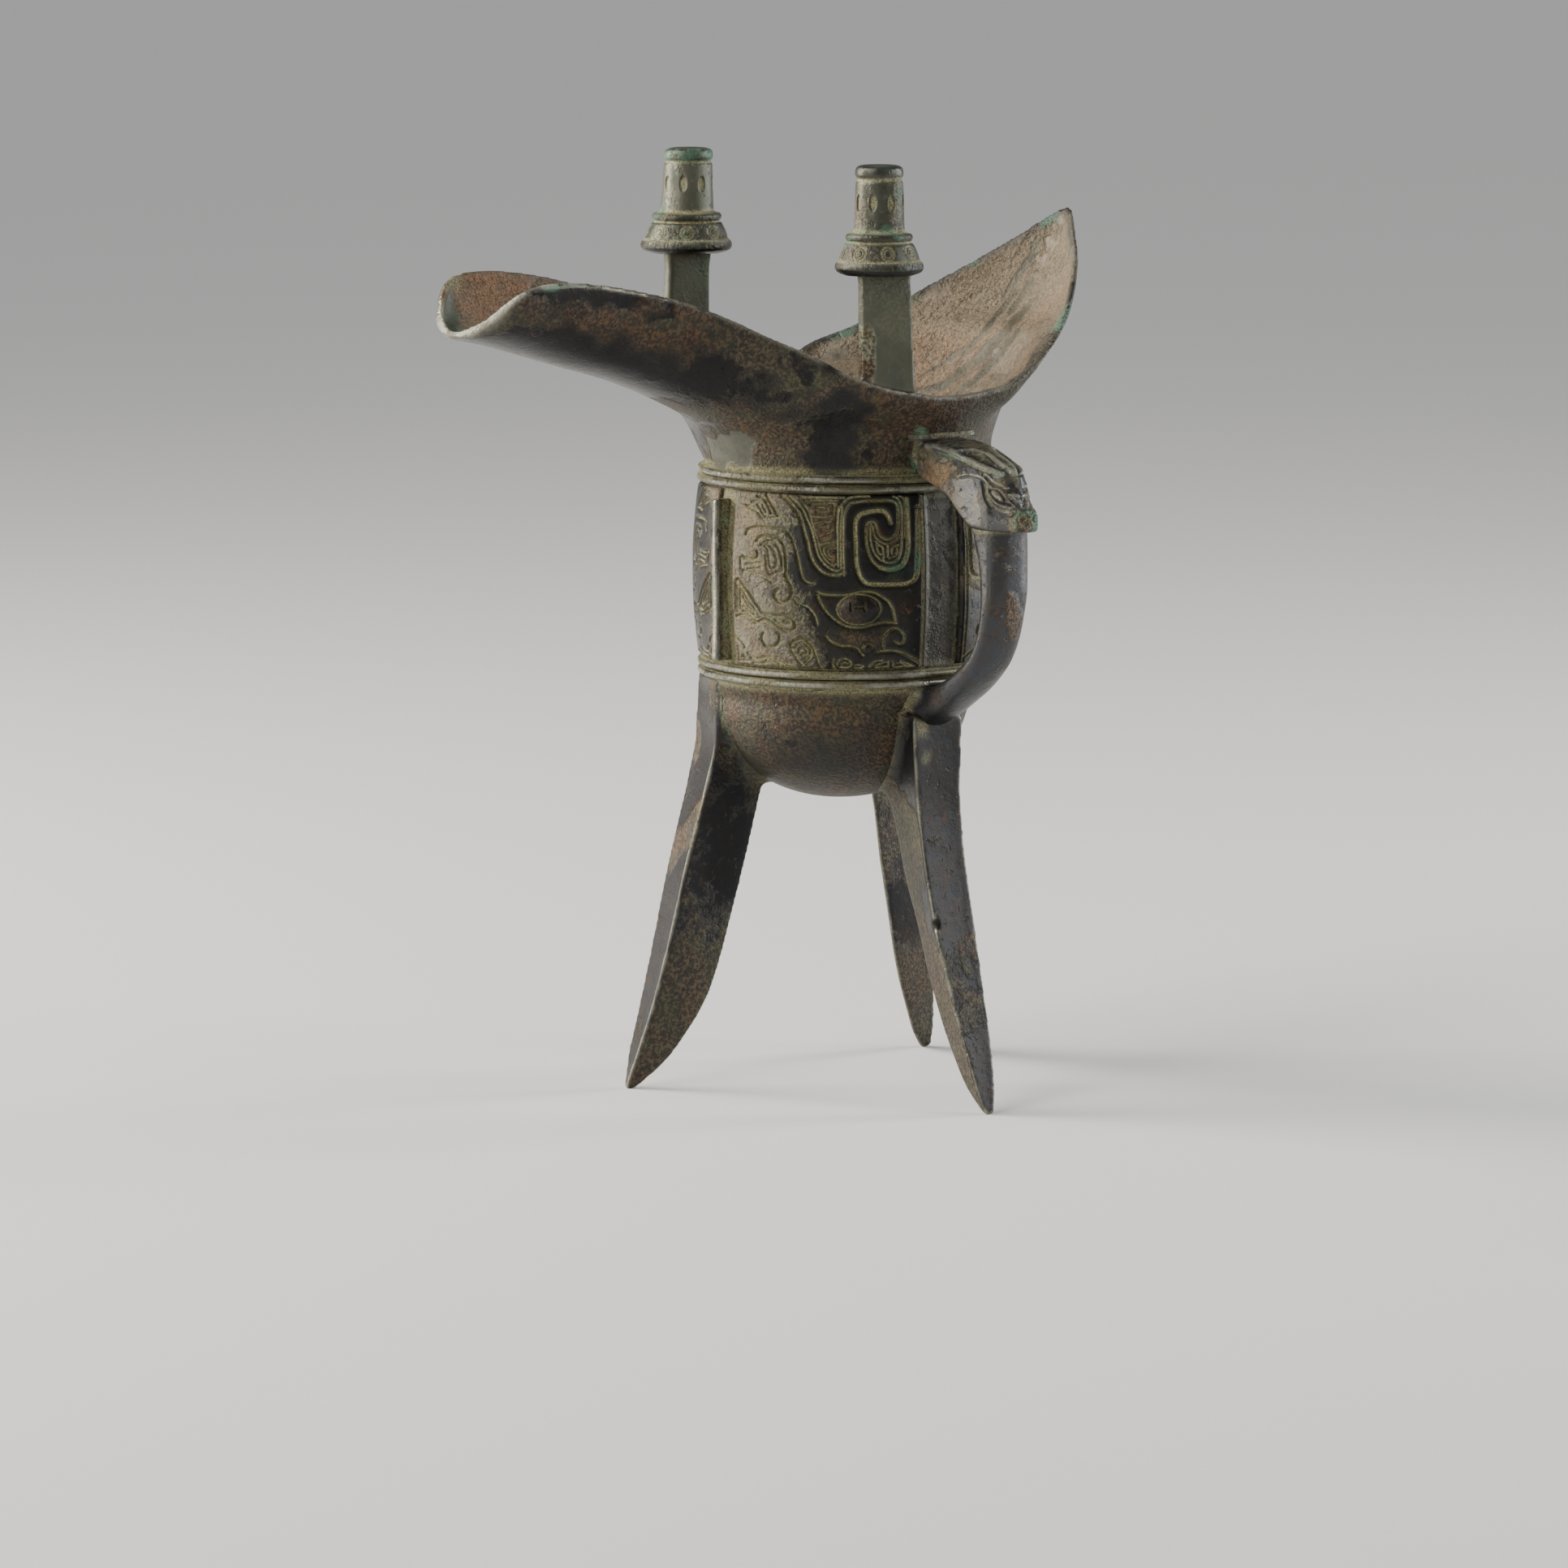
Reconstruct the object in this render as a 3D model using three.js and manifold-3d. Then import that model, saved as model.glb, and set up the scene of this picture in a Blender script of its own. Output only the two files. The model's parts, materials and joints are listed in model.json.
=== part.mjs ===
// Three-legged libation cup: an egg-bottomed bowl with a cast relief band, a
// long pouring spout, a pointed tail, two capped posts on the rim, a loop
// handle under a small beast head and three blade legs.
// Millimetres, +Z up. Vessel axis = modelling origin, floor = z 0, the spout
// points to -X, the tail to +X and the handle to -Y. The finished group is
// moved at the end so that the bottom centre of its box is the origin.
import * as THREE from 'three';
import { mergeVertices } from 'three/addons/utils/BufferGeometryUtils.js';
import Module from 'manifold-3d';

const wasm = await Module();
wasm.setup();
const { Manifold } = wasm;

// ---------------------------------------------------------------- constants
const GAP = 0.3;                 // parting gap between neighbouring pieces
const SEG = 40;                  // divisions round the body
const CAP_SEG = 20;              // divisions round a post cap
const BOWL_TOP = 92.0, BOWL_R = 31.4, BOWL_H = 27.2, BOWL_WALL = 2.5;
const BAND_Z0 = 92.3, BAND_Z1 = 138.9, BAND_WALL = 2.6;
const RELIEF_Z0 = 97.0, RELIEF_Z1 = 134.6, RELIEF_OUT = 1.2;
const RING_R = 33.4;
const RINGS = {
  lower_bowstring_1: [92.5, 94.2],
  lower_bowstring_2: [94.5, 96.2],
  upper_bowstring_1: [135.15, 136.85],
  upper_bowstring_2: [137.15, 138.85],
};
// azimuth from the handle, half width, lower and upper end of each flange
const FLANGE_R = 36.05;
const FLANGES = {
  flange_spout: [93.2, 1.15, 97.3, 132.8],
  flange_tail: [-90, 1.05, 97.6, 131.6],
  flange_back: [180, 1.05, 97.6, 131.6],
};
const NECK_Z0 = 139.2, LIP_WALL = 2.4, SPLIT_X = 36;
const NECK_R = [[139.2, 31.6], [141.5, 32.2], [144, 32.7], [147, 33.6],
  [150, 34.6], [153.3, 36.1], [155.4, 37.9], [158, 40], [161, 41.6], [165, 42.6]];
// near and far post: centre x, centre y, half width at the rim, top height
const POSTS = {
  post_near: [-17.0, -34.3, 5.95, 182.1],
  post_far: [-19.0, 34.0, 6.85, 183.8],
};
// near and far cap: centre x, centre y, underside, overall height
const CAPS = {
  post_cap_near: [-18.25, -32.8, 182.4, 23.7],
  post_cap_far: [-18.7, 33.5, 184.1, 23.2],
};
const CAP_PROFILE = [[0, 0], [9.1, 0], [9.5, 0.8], [9.5, 1.9],
  [8.9, 2.4], [7.5, 6.2], [6.9, 6.5], [7.2, 7.0], [7.2, 8.2],
  [5.55, 8.9], [5.0, 19.3], [4.75, 19.8], [5.1, 20.6], [4.7, 22.3],
  [3.0, 22.9], [0, 22.9]];
// Each leg: azimuth, upper end, lean of its outer face, and the stations
// [height, outer face, inner edge, width].
const LEG_BACK = [[0, 50, 48, 3], [2, 49.6, 45.2, 4], [5, 48.6, 42, 5.4],
  [10, 47.3, 38.5, 6.7], [18, 44.6, 33.5, 8.7], [28, 41.4, 29, 10.2],
  [39, 38, 25, 11.4], [48.5, 35.6, 21, 11.8], [58, 33.6, 18, 12.1],
  [66.5, 32.3, 14.5, 12.6], [74, 31.8, 12, 13.2], [82, 31.4, 10, 14],
  [88.4, 31.2, 9, 14]];
const LEG_FRONT = [[0, 50.4, 47.9, 3], [2, 49.9, 45.4, 4], [5, 49.2, 42, 5.4],
  [10, 47.9, 38, 6.7], [18, 45.6, 33.3, 8.7], [29, 43, 29, 10.2],
  [39, 40.8, 26.3, 11.4], [49, 38.7, 23.8, 11.8], [62, 35.5, 20.7, 12.1],
  [70, 33.6, 19, 12.6], [78, 32, 17.5, 13.2], [88.4, 31.4, 16.5, 14]];
const LEGS = {
  leg_handle: [0, 83.5, 0, LEG_BACK],
  leg_spout: [120, 90, 0.21, LEG_FRONT],
  leg_tail: [-120, 90, 0, LEG_BACK],
};

// Half width of the mouth at the rim, height of the rim, and height of the
// underside, each against the station x along the spout-tail line.
const HALF_W = [[-109.6, 0.5], [-109.3, 1.8], [-108.8, 3.5], [-107.5, 5.8],
  [-106, 7.7], [-103, 11.2], [-100, 13.6], [-97, 14.8], [-92, 15.2],
  [-80, 15.4], [-70, 16], [-60, 17.5], [-50, 19.5], [-40, 23.6], [-33, 28.4],
  [-26, 33], [-18, 36], [-10, 37], [0, 38], [10, 39.4], [15, 40.2], [20, 40.2],
  [24, 38.9], [30, 35.5], [38, 29.9], [44, 24.8], [50, 19], [56, 12.2],
  [60, 6.4], [62, 3.1], [63.3, 0.6]];
const RIM_Z = [[-109.6, 171.7], [-107.5, 172.3], [-106, 173.2], [-103, 176.7],
  [-100, 180.3], [-97, 182], [-92, 182.9], [-88, 183], [-80, 182.3],
  [-70, 180.7], [-60, 178.2], [-50, 174.7], [-40, 169.8], [-33, 166],
  [-26, 161.5], [-18, 158.5], [-11, 157.2], [-5, 156.3], [0, 156.3],
  [10, 157.4], [15, 159.3], [20, 162], [24, 163.8], [30, 166.6], [38, 171.4],
  [44, 175.8], [50, 180.3], [56, 185.7], [60, 189.8], [63.3, 192.7]];
const UNDER_Z = [[-109.6, 171.3], [-107, 170.9], [-102.9, 170.2], [-91, 167.2],
  [-79, 163.8], [-67, 160.6], [-56, 156.8], [-45, 152.3], [-36, 148.5],
  [-26, 145.6], [-14, 145], [14, 146.5], [20, 154], [24, 159.6], [28, 161.9],
  [32, 163.1], [36, 164.5], [40, 165.4], [45, 166.4], [50, 168.6], [54, 172],
  [58, 178.2], [61, 184.5], [63.3, 190.6]];

// ------------------------------------------------------------------ helpers
function table(rows, x) {
  if (x <= rows[0][0]) return rows[0][1];
  for (let i = 1; i < rows.length; i++) {
    if (x <= rows[i][0]) {
      const t = (x - rows[i - 1][0]) / (rows[i][0] - rows[i - 1][0]);
      return rows[i - 1][1] + t * (rows[i][1] - rows[i - 1][1]);
    }
  }
  return rows[rows.length - 1][1];
}

function toSolid(geometry) {
  let g = geometry.index ? geometry.toNonIndexed() : geometry.clone();
  g.deleteAttribute('normal');
  g.deleteAttribute('uv');
  g = mergeVertices(g, 1e-4);
  const p = g.attributes.position.array;
  const src = g.index.array;
  const tri = [];
  let volume = 0;
  for (let i = 0; i < src.length; i += 3) {
    const a = src[i], b = src[i + 1], c = src[i + 2];
    if (a === b || b === c || a === c) continue;
    tri.push(a, b, c);
    const A = new THREE.Vector3().fromArray(p, 3 * a);
    const B = new THREE.Vector3().fromArray(p, 3 * b);
    const C = new THREE.Vector3().fromArray(p, 3 * c);
    volume += A.dot(B.cross(C));
  }
  if (volume < 0) {
    for (let i = 0; i < tri.length; i += 3) {
      const t = tri[i + 1];
      tri[i + 1] = tri[i + 2];
      tri[i + 2] = t;
    }
  }
  return new Manifold(new wasm.Mesh({
    numProp: 3,
    vertProperties: new Float32Array(p),
    triVerts: new Uint32Array(tri),
  }));
}

function toGeometry(m) {
  const mesh = m.getMesh();
  const g = new THREE.BufferGeometry();
  g.setAttribute('position', new THREE.BufferAttribute(new Float32Array(mesh.vertProperties), 3));
  g.setIndex(new THREE.BufferAttribute(new Uint32Array(mesh.triVerts), 1));
  g.computeVertexNormals();
  return g;
}

// Turn a profile of [r, z] points round the vessel axis.
function lathe(profile, segments = SEG) {
  const g = new THREE.LatheGeometry(profile.map(([r, z]) => new THREE.Vector2(r, z)), segments);
  g.rotateX(Math.PI / 2);
  return toSolid(g);
}

// Skin a row of rings that all have the same number of points; flat end caps.
function loft(rings) {
  const n = rings[0].length;
  const pos = rings.flat(2);
  const idx = [];
  for (let r = 0; r + 1 < rings.length; r++) {
    for (let k = 0; k < n; k++) {
      const a = r * n + k, b = r * n + (k + 1) % n;
      idx.push(a, b, a + n, b, b + n, a + n);
    }
  }
  for (const [r, flip] of [[0, true], [rings.length - 1, false]]) {
    for (let k = 1; k + 1 < n; k++) {
      const a = r * n, b = a + k, c = a + k + 1;
      if (flip) idx.push(a, c, b); else idx.push(a, b, c);
    }
  }
  const g = new THREE.BufferGeometry();
  g.setAttribute('position', new THREE.BufferAttribute(new Float32Array(pos), 3));
  g.setIndex(idx);
  return toSolid(g);
}

// Plate cut from an outline drawn in (u, v) and pulled along the third axis.
function extrude(points, depth, bevel = 0) {
  const shape = new THREE.Shape(points.map(([u, v]) => new THREE.Vector2(u, v)));
  return new THREE.ExtrudeGeometry(shape, {
    depth: depth - 2 * bevel,
    bevelEnabled: bevel > 0,
    bevelThickness: bevel,
    bevelSize: bevel,
    bevelOffset: -bevel,
    bevelSegments: 2,
    curveSegments: 1,
  });
}

// Outline in (x, z), pulled through y.
function slabXZ(points, halfY) {
  const g = extrude(points, 2 * halfY);
  g.rotateX(Math.PI / 2);
  g.translate(0, halfY, 0);
  return toSolid(g);
}

// Outline in (distance out along the handle, z), pulled through x.
function slabHandle(points, width, bevel) {
  const g = extrude(points, width, bevel);
  g.translate(0, 0, -width / 2 + bevel);
  g.applyMatrix4(new THREE.Matrix4().set(
    0, 0, 1, 0,
    -1, 0, 0, 0,
    0, 1, 0, 0,
    0, 0, 0, 1,
  ));
  return toSolid(g);
}

function box(x0, x1, y0, y1, z0, z1) {
  const g = new THREE.BoxGeometry(x1 - x0, y1 - y0, z1 - z0);
  g.translate((x0 + x1) / 2, (y0 + y1) / 2, (z0 + z1) / 2);
  return toSolid(g);
}

function ellipsoid(rx, ry, rz, place) {
  const g = new THREE.SphereGeometry(1, 14, 8);
  g.scale(rx, ry, rz);
  g.applyMatrix4(place);
  return toSolid(g);
}

// ------------------------------------------------------------- body surfaces
// The cast body is not quite true: its neck and belly sit a little to one
// side of the bowstrings' axis.
const ease = (a, b, v) => THREE.MathUtils.smoothstep(v, Math.min(a, b), Math.max(a, b));
const lean = (z) => {
  const s = 1.3 * ease(138, 146, z) + 1.8 * (1 - ease(84, 91.5, z));
  return [-0.779 * s, 0.627 * s];
};
function leaned(m) {
  return m.warp((v) => {
    const [dx, dy] = lean(v[2]);
    v[0] += dx;
    v[1] += dy;
  });
}
const bowlR = (z) => {
  const u = Math.min(Math.max((BOWL_TOP - z) / BOWL_H, 0), 1);
  return (29.2 + 2.2 * ease(87.5, 92, z)) * (1 - u ** 2.15) ** (1 / 2.15);
};
const swell = (z) => 1.3 * Math.max(0, 1 - ((z - 115.5) / 19) ** 2);
const bandR = (z) => (z < 96.5 || z > 134.8 ? 31.5 : 31.9 + swell(z));

const bowlZ = [0, 0.07, 0.14, 0.28, 0.45, 0.62, 0.78, 0.9, 0.97, 1].map((u) => BOWL_TOP - BOWL_H * u);
const bowlOuter = bowlZ.map((z) => [bowlR(z), z]).reverse();
const bowlInner = [0, 0.15, 0.35, 0.55, 0.75, 0.92, 1].map((u) => {
  const h = BOWL_H - BOWL_WALL;
  return [(29.1 - BOWL_WALL) * (1 - u ** 2.15) ** (1 / 2.15), BOWL_TOP - h * u];
});
const bodyBowl = leaned(lathe([...bowlOuter, ...bowlInner]));

const bandZ = [BAND_Z0, 96.5, 96.9, 103, 109, 115.5, 122, 128, 134.2, 134.8, BAND_Z1];
const bandOuter = bandZ.map((z) => [z === 96.5 || z === 134.8 ? 31.5 : bandR(z), z]);
const bandIn0 = BOWL_R - BOWL_WALL;
const bodyBand = lathe([
  ...bandOuter,
  [28.9, BAND_Z1], [29.6, 128], [30.2, 115.5], [29.8, 103], [bandIn0, BAND_Z0],
  bandOuter[0],
]);

// Everything the handle and the legs must stay clear of.
const keepClear = leaned(lathe([
  [0, BOWL_TOP - BOWL_H - GAP],
  ...bowlOuter.slice(1).map(([r, z]) => [r + GAP, z - (z < 80 ? GAP * 0.6 : 0)]),
  [BOWL_R + GAP, 92.2], [RING_R + GAP, 92.2], [RING_R + GAP, 96.5],
  [33.3, 97.2], [34.0, 103], [34.7, 115.5], [34.0, 128], [33.4, 134.2],
  [RING_R + GAP, 134.85], [RING_R + GAP, 139.15],
  ...NECK_R.map(([z, r]) => [r + GAP, Math.max(z, 139.16)]),
  [0, 165],
]));

function ring(z0, z1) {
  const zm = (z0 + z1) / 2;
  return lathe([
    [31.8, z0], [RING_R - 0.7, z0], [RING_R, zm - 0.35], [RING_R, zm + 0.35],
    [RING_R - 0.7, z1], [31.8, z1], [31.8, z0],
  ]);
}

// Curved plate over part of the band; angles run from the handle to the spout.
const at = (deg, r, z) => {
  const a = THREE.MathUtils.degToRad(deg);
  return [-r * Math.sin(a), -r * Math.cos(a), z];
};
function plate(a0, a1, z0, z1, r0, r1, na) {
  const zs = [0, 0.33, 0.66, 1].map((t) => z0 + t * (z1 - z0));
  const rings = [];
  for (let i = 0; i <= na; i++) {
    const a = a0 + (a1 - a0) * i / na;
    rings.push([
      ...zs.map((z) => at(a, 31.9 + swell(z) + r0, z)),
      ...zs.slice().reverse().map((z) => at(a, 31.9 + swell(z) + r1, z)),
    ]);
  }
  // a plate section is a thin curved strip, so its ends are closed as quads
  const n = rings[0].length;
  const pos = rings.flat(2);
  const idx = [];
  for (let r = 0; r < na; r++) {
    for (let k = 0; k < n; k++) {
      const p = r * n + k, q = r * n + (k + 1) % n;
      idx.push(p, q, p + n, q, q + n, p + n);
    }
  }
  for (const [r, flip] of [[0, true], [na, false]]) {
    for (let k = 0; k + 1 < zs.length; k++) {
      const a = r * n + k, b = a + 1, d = r * n + n - 1 - k, c = d - 1;
      const quad = flip ? [a, c, b, a, d, c] : [a, b, c, a, c, d];
      idx.push(...quad);
    }
  }
  const g = new THREE.BufferGeometry();
  g.setAttribute('position', new THREE.BufferAttribute(new Float32Array(pos), 3));
  g.setIndex(idx);
  return toSolid(g);
}
function onBand(deg, z, r) {
  const [x, y] = at(deg, r, z);
  const m = new THREE.Matrix4().makeRotationZ(THREE.MathUtils.degToRad(-deg));
  m.setPosition(x, y, z);
  return m;
}
const bandClear = lathe([[0, 92], [31.8, 92], ...bandZ.slice(2, 9).map((z) => [bandR(z) + GAP, z]), [31.8, 139.5], [0, 139.5]]);
// Half mask: ground plate, slit eyeball, jaw knob and the edge of a C horn.
// Angles run from the handle, or from the back when back is true.
function halfMask({ back, mirror, lo, hi, eye, knob, horn }) {
  const turn = (a, b) => (back ? [180 - b, 180 - a] : [a, b]);
  let m = plate(...turn(lo, hi), RELIEF_Z0, RELIEF_Z1, 0, RELIEF_OUT - 0.45, 12);
  m = m.add(ellipsoid(4.2, 1.15, 3.2, onBand(back ? 180 - eye : eye, 110.2, 33.6)));
  m = m.add(ellipsoid(1.4, 0.8, 1.2, onBand(back ? 180 - knob : knob, 101.6, 33.3)));
  m = m.add(plate(...turn(...horn), 116, 133.2, 0.1, RELIEF_OUT, 3));
  m = m.subtract(bandClear);
  return mirror ? m.mirror([1, 0, 0]) : m;
}
const NEAR = { back: false, lo: 10.5, hi: 87, eye: 34.5, knob: 32, horn: [19, 41] };
const FAR_SPOUT = { back: true, lo: 2.6, hi: 83.4, eye: 29.7, knob: 27.1, horn: [13.9, 36.3] };
const FAR_TAIL = { back: true, lo: 2.6, hi: 87, eye: 31, knob: 28.3, horn: [14.4, 37.9] };

// ----------------------------------------------------- neck, spout and tail
const stations = [...new Set([...HALF_W, ...RIM_Z].map(([x]) => x))].sort((a, b) => a - b);
function trough(inset, top) {
  const rings = [];
  for (const x of stations) {
    const w = table(HALF_W, x) - inset;
    if (w < 0.35) continue;
    const zr = table(RIM_Z, x);
    const zb = Math.min(table(UNDER_Z, x) + inset, zr - 0.05);
    const ringPts = [[x, w, top]];
    const arc = 12;
    for (let k = 0; k <= arc; k++) {
      const t = Math.PI * k / arc, c = Math.cos(t), e = 2 / 2.15;
      ringPts.push([x, w * Math.sign(c) * Math.abs(c) ** e, zr - (zr - zb) * Math.max(Math.sin(t), 0) ** e]);
    }
    ringPts.push([x, -w, top]);
    rings.push(ringPts);
  }
  return loft(rings);
}
const neckOuter = leaned(lathe([[0, NECK_Z0], ...NECK_R.map(([z, r]) => [r, z]), [0, 165]]));
const neckInner = leaned(lathe([[0, NECK_Z0 - 1], [NECK_R[0][1] - LIP_WALL, NECK_Z0 - 1],
  ...NECK_R.map(([z, r]) => [r - LIP_WALL, z + (z > 162 ? 1 : 0)]), [0, 166]]));
// The far lip of the spout stands 1.1 mm higher than the near one.
function aboveRim(lift) {
  const far = (x) => 1.1 * (1 - ease(-66, -44, x));
  const side = (more, y0, y1) => slabXZ([[-112, 172 + lift + more],
    ...RIM_Z.map(([x, z]) => [x, z + lift + (more ? far(x) : 0)]),
    [70, 197 + lift], [70, 240], [-112, 240]], 60).intersect(box(-200, 200, y0, y1, 100, 300));
  return side(0, -80, 2).add(side(1.1, 2, 80));
}
const mouth = neckOuter.add(trough(0, 215))
  .subtract(neckInner.add(trough(LIP_WALL, 216)))
  .subtract(aboveRim(0));
const spout = mouth.intersect(box(-130, -SPLIT_X - GAP / 2, -60, 60, 100, 230));
const neck = mouth.intersect(box(-SPLIT_X + GAP / 2, SPLIT_X - GAP / 2, -60, 60, 100, 230));
const tail = mouth.intersect(box(SPLIT_X + GAP / 2, 130, -60, 60, 100, 230));

// --------------------------------------------------------- posts and caps
function post([cx, cy, half, top]) {
  const s = Math.sign(cy), k = THREE.MathUtils.degToRad(20);
  const t = [Math.cos(k), s * Math.sin(k)], n = [-Math.sin(k), s * Math.cos(k)];
  const section = (z, hw, y) => [[-1, -1], [1, -1], [1, 1], [-1, 1]].map(([u, v]) => [
    cx + u * hw * t[0] + v * 1.6 * n[0], y + u * hw * t[1] + v * 1.6 * n[1], z,
  ]);
  const lean1 = -s * 0.04;
  return loft([
    section(150, half, cy - 8 * lean1),
    section(158, half, cy),
    section(top, half - 0.45, cy + (top - 158) * lean1),
  ]).intersect(aboveRim(GAP));
}
function cap([cx, cy, base, height]) {
  return lathe(CAP_PROFILE.map(([r, z]) => [r, z * height / 22.9]), CAP_SEG)
    .translate([cx, cy, base]);
}

// ------------------------------------------------------------------- legs
function leg([deg, top, skew, stationsOf]) {
  const rings = stationsOf.map(([z, ro, ri, width]) => {
    const w = width / 2, mid = ro - 0.4 * (ro - ri);
    const k = skew * Math.min(Math.max((z - 1) / 7, 0), 1);
    return [[w, ro], [w * 0.66, mid], [0.5, ri], [-0.5, ri], [-w * 0.66, mid], [-w, ro]]
      .map(([x, r]) => [x, -(r - k * x), z]);
  });
  return loft(rings).rotate([0, 0, -deg])
    .subtract(keepClear)
    .intersect(box(-80, 80, -80, 80, -1, top));
}

// ----------------------------------------------------------------- handle
const LOOP_OUT = [[57.4, 127.9], [57.2, 123.5], [56.8, 118.1], [56.3, 112.7],
  [55, 108.3], [53.4, 103.8], [51, 99.3], [47.7, 95.2], [43.5, 91.5],
  [39.3, 88.7], [35.1, 86], [31.7, 84.3], [30, 83.9]];
const LOOP_IN = [[30, 91.4], [31.9, 91.9], [38.3, 94.1], [41.3, 95.2],
  [45, 98.1], [48.4, 101], [50.4, 104.2], [51.5, 107], [52.1, 110.3],
  [52.2, 114.3], [51.5, 119.6], [50.5, 123.5], [48.3, 127.9]];
const loop = slabHandle([...LOOP_OUT, ...LOOP_IN], 11, 1.1).subtract(keepClear);

const HEAD = [[30, 139.4], [31.9, 139.1], [33.5, 137.9], [36.4, 136.9],
  [38.9, 136], [42.1, 134.5], [44.8, 132], [47.6, 129.7], [49.7, 128.3],
  [62.2, 128.3], [62.2, 132.6], [60, 134.2], [58.3, 139], [56.6, 141.4],
  [52.2, 143.4], [46.2, 145.2], [38, 146.4], [30, 146.9]];
// the head's outline seen from above: half width against the distance out
const HEAD_PLAN = [[20, 6.4], [50, 6.4], [53, 6.3], [54.9, 6], [57.5, 4.7],
  [59, 3.8], [60, 3.3], [62.3, 3.1]];
function onHead(s, r, z, tilt) {
  const m = new THREE.Matrix4().makeRotationX(tilt);
  m.setPosition(s, -r, z);
  return m;
}
const plan = new THREE.ExtrudeGeometry(new THREE.Shape([
  ...HEAD_PLAN.map(([r, w]) => new THREE.Vector2(w, -r)),
  ...HEAD_PLAN.slice().reverse().map(([r, w]) => new THREE.Vector2(-w, -r)),
]), { depth: 60, bevelEnabled: false });
plan.translate(0, 0, 100);
let head = slabHandle(HEAD, 12.8, 0.9).intersect(toSolid(plan));
for (const s of [-1, 1]) {
  head = head
    .add(ellipsoid(0.9, 2.4, 1.6, onHead(s * 5.9, 54.4, 137.6, -0.25)))
    .add(ellipsoid(1.2, 7.6, 1.5, onHead(s * 4.9, 46.5, 143.6, -0.14)))
    .add(ellipsoid(1.3, 0.9, 1.2, onHead(s * 1.9, 61.6, 131.2, 0)));
}
head = head.subtract(keepClear).intersect(box(-20, 20, -80, 0, 128.25, 160));

// --------------------------------------------------------------- assembly
const flange = ([deg, half, z0, z1]) => {
  const m = box(-half, half, -FLANGE_R, -31, z0, z1);
  return m.subtract(lathe([[0, 90], [34.05, 90], [34.05, 103], [34.5, 109],
    [34.7, 115.5], [34.5, 122], [34.05, 128], [34.05, 140], [0, 140]]))
    .rotate([0, 0, -deg]);
};

const pieces = [
  ['body_bowl', bodyBowl, 0x4a4436],
  ['body_band', bodyBand, 0x5a5a44],
  ['body_neck', neck, 0x4b4a42],
  ['spout', spout, 0x565243],
  ['tail', tail, 0x6b6048],
  ...Object.entries(RINGS).map(([name, [z0, z1]]) => [name, ring(z0, z1), 0x4f4a38]),
  ['mask_near_spout', halfMask({ ...NEAR, mirror: false }), 0x5f5f48],
  ['mask_near_tail', halfMask({ ...NEAR, mirror: true }), 0x5f5f48],
  ['mask_far_spout', halfMask({ ...FAR_SPOUT, mirror: false }), 0x5f5f48],
  ['mask_far_tail', halfMask({ ...FAR_TAIL, mirror: true }), 0x5f5f48],
  ...Object.entries(FLANGES).map(([name, f]) => [name, flange(f), 0x6a6144]),
  ['handle_loop', loop, 0x50565a],
  ['handle_head', head, 0x5c6a58],
  ...Object.entries(POSTS).map(([name, p]) => [name, post(p), 0x747a66]),
  ...Object.entries(CAPS).map(([name, c]) => [name, cap(c), 0x808870]),
  ...Object.entries(LEGS).map(([name, l]) => [name, leg(l), 0x44403a]),
];

const group = new THREE.Group();
group.name = 'libation_cup';
for (const [name, m, color] of pieces) {
  const mesh = new THREE.Mesh(
    toGeometry(m),
    new THREE.MeshStandardMaterial({ color, metalness: 0.8, roughness: 0.5 }),
  );
  mesh.name = name;
  group.add(mesh);
}

const bounds = new THREE.Box3().setFromObject(group);
const shiftX = -(bounds.min.x + bounds.max.x) / 2;
const shiftY = -(bounds.min.y + bounds.max.y) / 2;
for (const mesh of group.children) {
  mesh.geometry.translate(shiftX, shiftY, -bounds.min.z);
}

export default group;
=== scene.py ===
import json
import math

import bpy
import numpy as np
from mathutils import Matrix, Vector


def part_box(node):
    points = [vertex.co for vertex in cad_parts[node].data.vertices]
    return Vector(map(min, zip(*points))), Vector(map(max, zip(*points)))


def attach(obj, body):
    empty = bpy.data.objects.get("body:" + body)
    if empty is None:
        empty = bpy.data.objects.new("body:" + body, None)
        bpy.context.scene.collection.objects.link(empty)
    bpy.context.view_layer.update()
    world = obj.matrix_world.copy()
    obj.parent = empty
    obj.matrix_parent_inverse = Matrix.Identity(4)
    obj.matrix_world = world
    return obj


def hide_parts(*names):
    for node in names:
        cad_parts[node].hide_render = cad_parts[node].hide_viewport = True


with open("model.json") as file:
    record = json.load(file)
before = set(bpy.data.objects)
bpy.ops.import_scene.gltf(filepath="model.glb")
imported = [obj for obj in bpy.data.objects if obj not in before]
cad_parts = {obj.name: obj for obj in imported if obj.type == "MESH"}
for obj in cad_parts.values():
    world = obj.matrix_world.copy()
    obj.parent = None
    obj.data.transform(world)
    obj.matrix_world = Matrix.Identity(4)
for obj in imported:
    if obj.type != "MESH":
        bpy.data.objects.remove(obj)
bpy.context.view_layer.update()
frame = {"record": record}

# ----------------------------------------------------------------------------
# Working frame: millimetres, vessel axis at x = y = 0, floor at z = 0, spout
# to -x, tail to +x, handle to -y. Everything is moved to the row frame when a
# mesh is made.
ring_lo, ring_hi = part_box("lower_bowstring_1")
AX = (ring_lo[0] + ring_hi[0]) / 2
AY = (ring_lo[1] + ring_hi[1]) / 2
F4 = np.float32

# The photograph's camera in the working frame: a pinhole, 1932 pixels square.
CAM_AT = np.array([-939.9, -1169.0, 277.0])
CAM_X = np.array([0.78521, -0.61923, 0.0])
CAM_Y = np.array([0.08575, 0.10874, 0.99037])
CAM_Z = np.array([-0.61326, -0.77764, 0.13848])
FOCAL = 8404.2


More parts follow.
